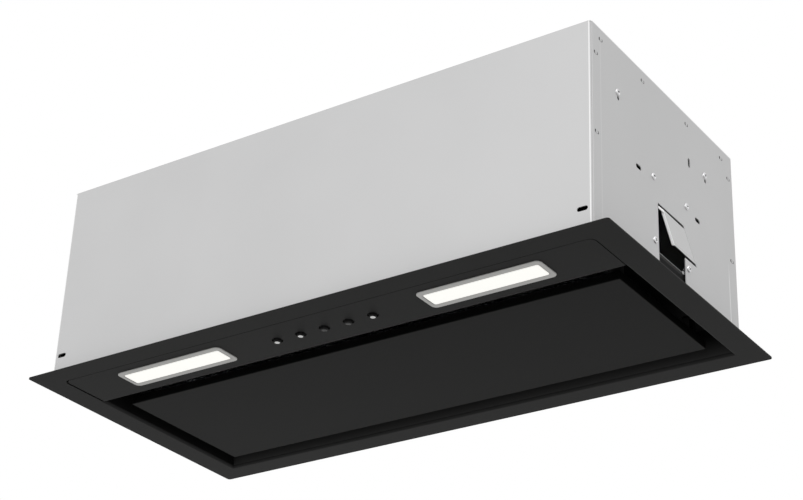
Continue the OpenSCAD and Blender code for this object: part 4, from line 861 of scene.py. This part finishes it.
can_profile = [
    (CAN_BORE, 0), (can_r - 3 * MM, 0), (can_r, 2 * MM), (side_ribs, 2.6 * MM), (side_ribs, can_l - 6 * MM),
    (can_r, can_l - 5.4 * MM), (can_r, can_l - 2 * MM), (can_r - 2 * MM, can_l), (0.82 * can_r, can_l),
    (vent_ribs, can_l - 0.9 * MM), (0.46 * can_r, can_l - 0.9 * MM), (0.44 * can_r, can_l),
    (10 * MM, can_l), (9.6 * MM, can_l + 2 * MM), (CAN_BORE, can_l + 2 * MM)]
can = bmesh.new()
turned(can, can_profile, can_axle, 160, ring=True)
fit("motor_ribbed", to_mesh(can, "motor", 30), lacquer, "root", ["motor"])
dress(("motor_bracket",), 0.25 * MM, zinc, "_pressed")

# The motor's capacitor is a drawn aluminium can with a rolled rim. It hangs from the top plate in a
# spring clip of zinc-plated strip.
aluminium, aluminium_inputs, on_aluminium = finish("drawn_aluminium", Metallic=0.9)
draw = on_aluminium.noise(800.0, 3.0)
on_aluminium.plug(draw.blend((0.5, 0.51, 0.52), (0.62, 0.63, 0.64)), aluminium_inputs["Base Color"])
on_aluminium.plug(draw * 0.14 + 0.3, aluminium_inputs["Roughness"])
low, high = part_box("capacitor")
tube_r = (high.x - low.x) / 2
tube_profile = [
    (0, low.z), (tube_r - 4 * MM, low.z), (tube_r - 4 * MM, low.z + 3.6 * MM),
    (tube_r - 1.2 * MM, low.z + 4 * MM), (tube_r, low.z + 5 * MM), (tube_r, high.z - 7 * MM),
    (tube_r - 0.8 * MM, high.z - 6 * MM), (tube_r - 0.8 * MM, high.z - 4.6 * MM),
    (tube_r, high.z - 3.6 * MM), (tube_r, high.z - 0.8 * MM), (tube_r - 0.8 * MM, high.z),
    (tube_r - 2 * MM, high.z), (tube_r - 2.4 * MM, high.z - MM), (0, high.z - MM)]
tube = bmesh.new()
turned(tube, tube_profile, Matrix.Translation(((low.x + high.x) / 2, (low.y + high.y) / 2, 0)), 64)
fit("capacitor_drawn", to_mesh(tube, "capacitor"), aluminium, "root", ["capacitor"])
dress(("capacitor_clip",), 0.2 * MM, zinc, "_sprung")

# The duct spigot is a black moulding: a round collar on a square plate, with a seat inside it. Two
# half-round flaps hang on one steel pin across it and close when the blower stops.
dress(("outlet_collar",), 0.4 * MM, nylon, "_moulded")
dress(("flap_front", "flap_rear"), 0.25 * MM, nylon, "_moulded")
dress(("flap_pin",), 0.3 * MM, screw_zinc, "_ground")

# Each grease filter is an aluminium frame round two layers of expanded aluminium mesh, whose strands
# cross at low angles and lean a little. A black sliding latch with a finger tab holds its front edge on
# the rail.
STRAND_W = 0.75 * MM
STRAND_T = 0.35 * MM
MESH_STEP = (6.5 * MM, 3.6 * MM)
MESH_BITE = 0.5 * MM
LAYER_IN = 0.45 * MM


def expanded_layer(mesh, low, high, height, shift):
    """One sheet of expanded metal: thin bars between the crossings of a net of diamonds."""
    across = int((high.x - low.x) / MESH_STEP[0])
    along = int((high.y - low.y) / MESH_STEP[1])
    wide = (high.x - low.x - 2 * MESH_BITE) / across
    deep = (high.y - low.y - 2 * MESH_BITE) / along
    corner = Vector((low.x + MESH_BITE, low.y + MESH_BITE, height))
    for i in range(across):
        for j in range(along):
            rising = (i + j + shift) % 2 == 0
            start = corner + Vector((i * wide, (j if rising else j + 1) * deep, 0))
            end = corner + Vector(((i + 1) * wide, (j + 1 if rising else j) * deep, 0))
            side = (end - start).cross(Vector((0, 0, 1))).normalized() * STRAND_W / 2
            up = Vector((0, 0, STRAND_T / 2))
            lean = Vector((0, 0, STRAND_T * (0.5 if rising else -0.5)))
            prism(mesh, [[middle + side * s + up * u + lean * s for s, u in SQUARE]
                         for middle in (start, end)])


for side in ("left", "right"):
    low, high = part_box("filter_mesh_" + side)
    net = bmesh.new()
    expanded_layer(net, low, high, low.z + LAYER_IN, 0)
    expanded_layer(net, low, high, high.z - LAYER_IN, 1)
    expanded = to_mesh(net, "expanded_mesh", 25)
    fit("expanded_mesh_" + side, expanded, aluminium, "root", ["filter_mesh_" + side])
dress(("filter_frame_left", "filter_frame_right"), 0.6 * MM, aluminium, "_folded")
dress(("filter_latch_left", "filter_latch_right"), 0.3 * MM, nylon, "_moulded")

# The panel covers the recess but for the suction gap. Its face is folded up at all four edges and has a
# smooth black coat, bare of any mark. A back plate closes it.
panel_coat, panel_inputs, on_panel = finish("panel_black", Specular_IOR_Level=0.05)
silk = on_panel.noise(1300.0)
panel_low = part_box("panel_face")[0]
FACE_T = 0.9 * MM
face_tone = silk.blend(grey(0.0108), grey(0.0128))
# Painted shade: the folded edges above the face are painted near black.
shaded_rim = on_panel.part("Z").over(panel_low.z + FACE_T)
on_panel.plug(shaded_rim.blend(face_tone, grey(0.003)), panel_inputs["Base Color"])
on_panel.plug(silk * 0.1 + 0.42, panel_inputs["Roughness"])
dress(("panel_face",), 0.45 * MM, panel_coat, "_folded")
dress(("panel_backing",), 0.2 * MM, tray_coat, "_coated")

# The panel hangs on two steel pins in brackets at its rear edge. Two magnets in black holders at the
# front hold it shut by thin steel plates on its back.
dress(("hinge_brackets",), 0.25 * MM, tray_coat, "_coated")
dress(("hinge_pins",), 0.3 * MM, screw_zinc, "_ground")
dress(("catch_magnets",), 0.4 * MM, nylon, "_moulded")
dress(("strike_plates",), 0.08 * MM, zinc, "_pressed")
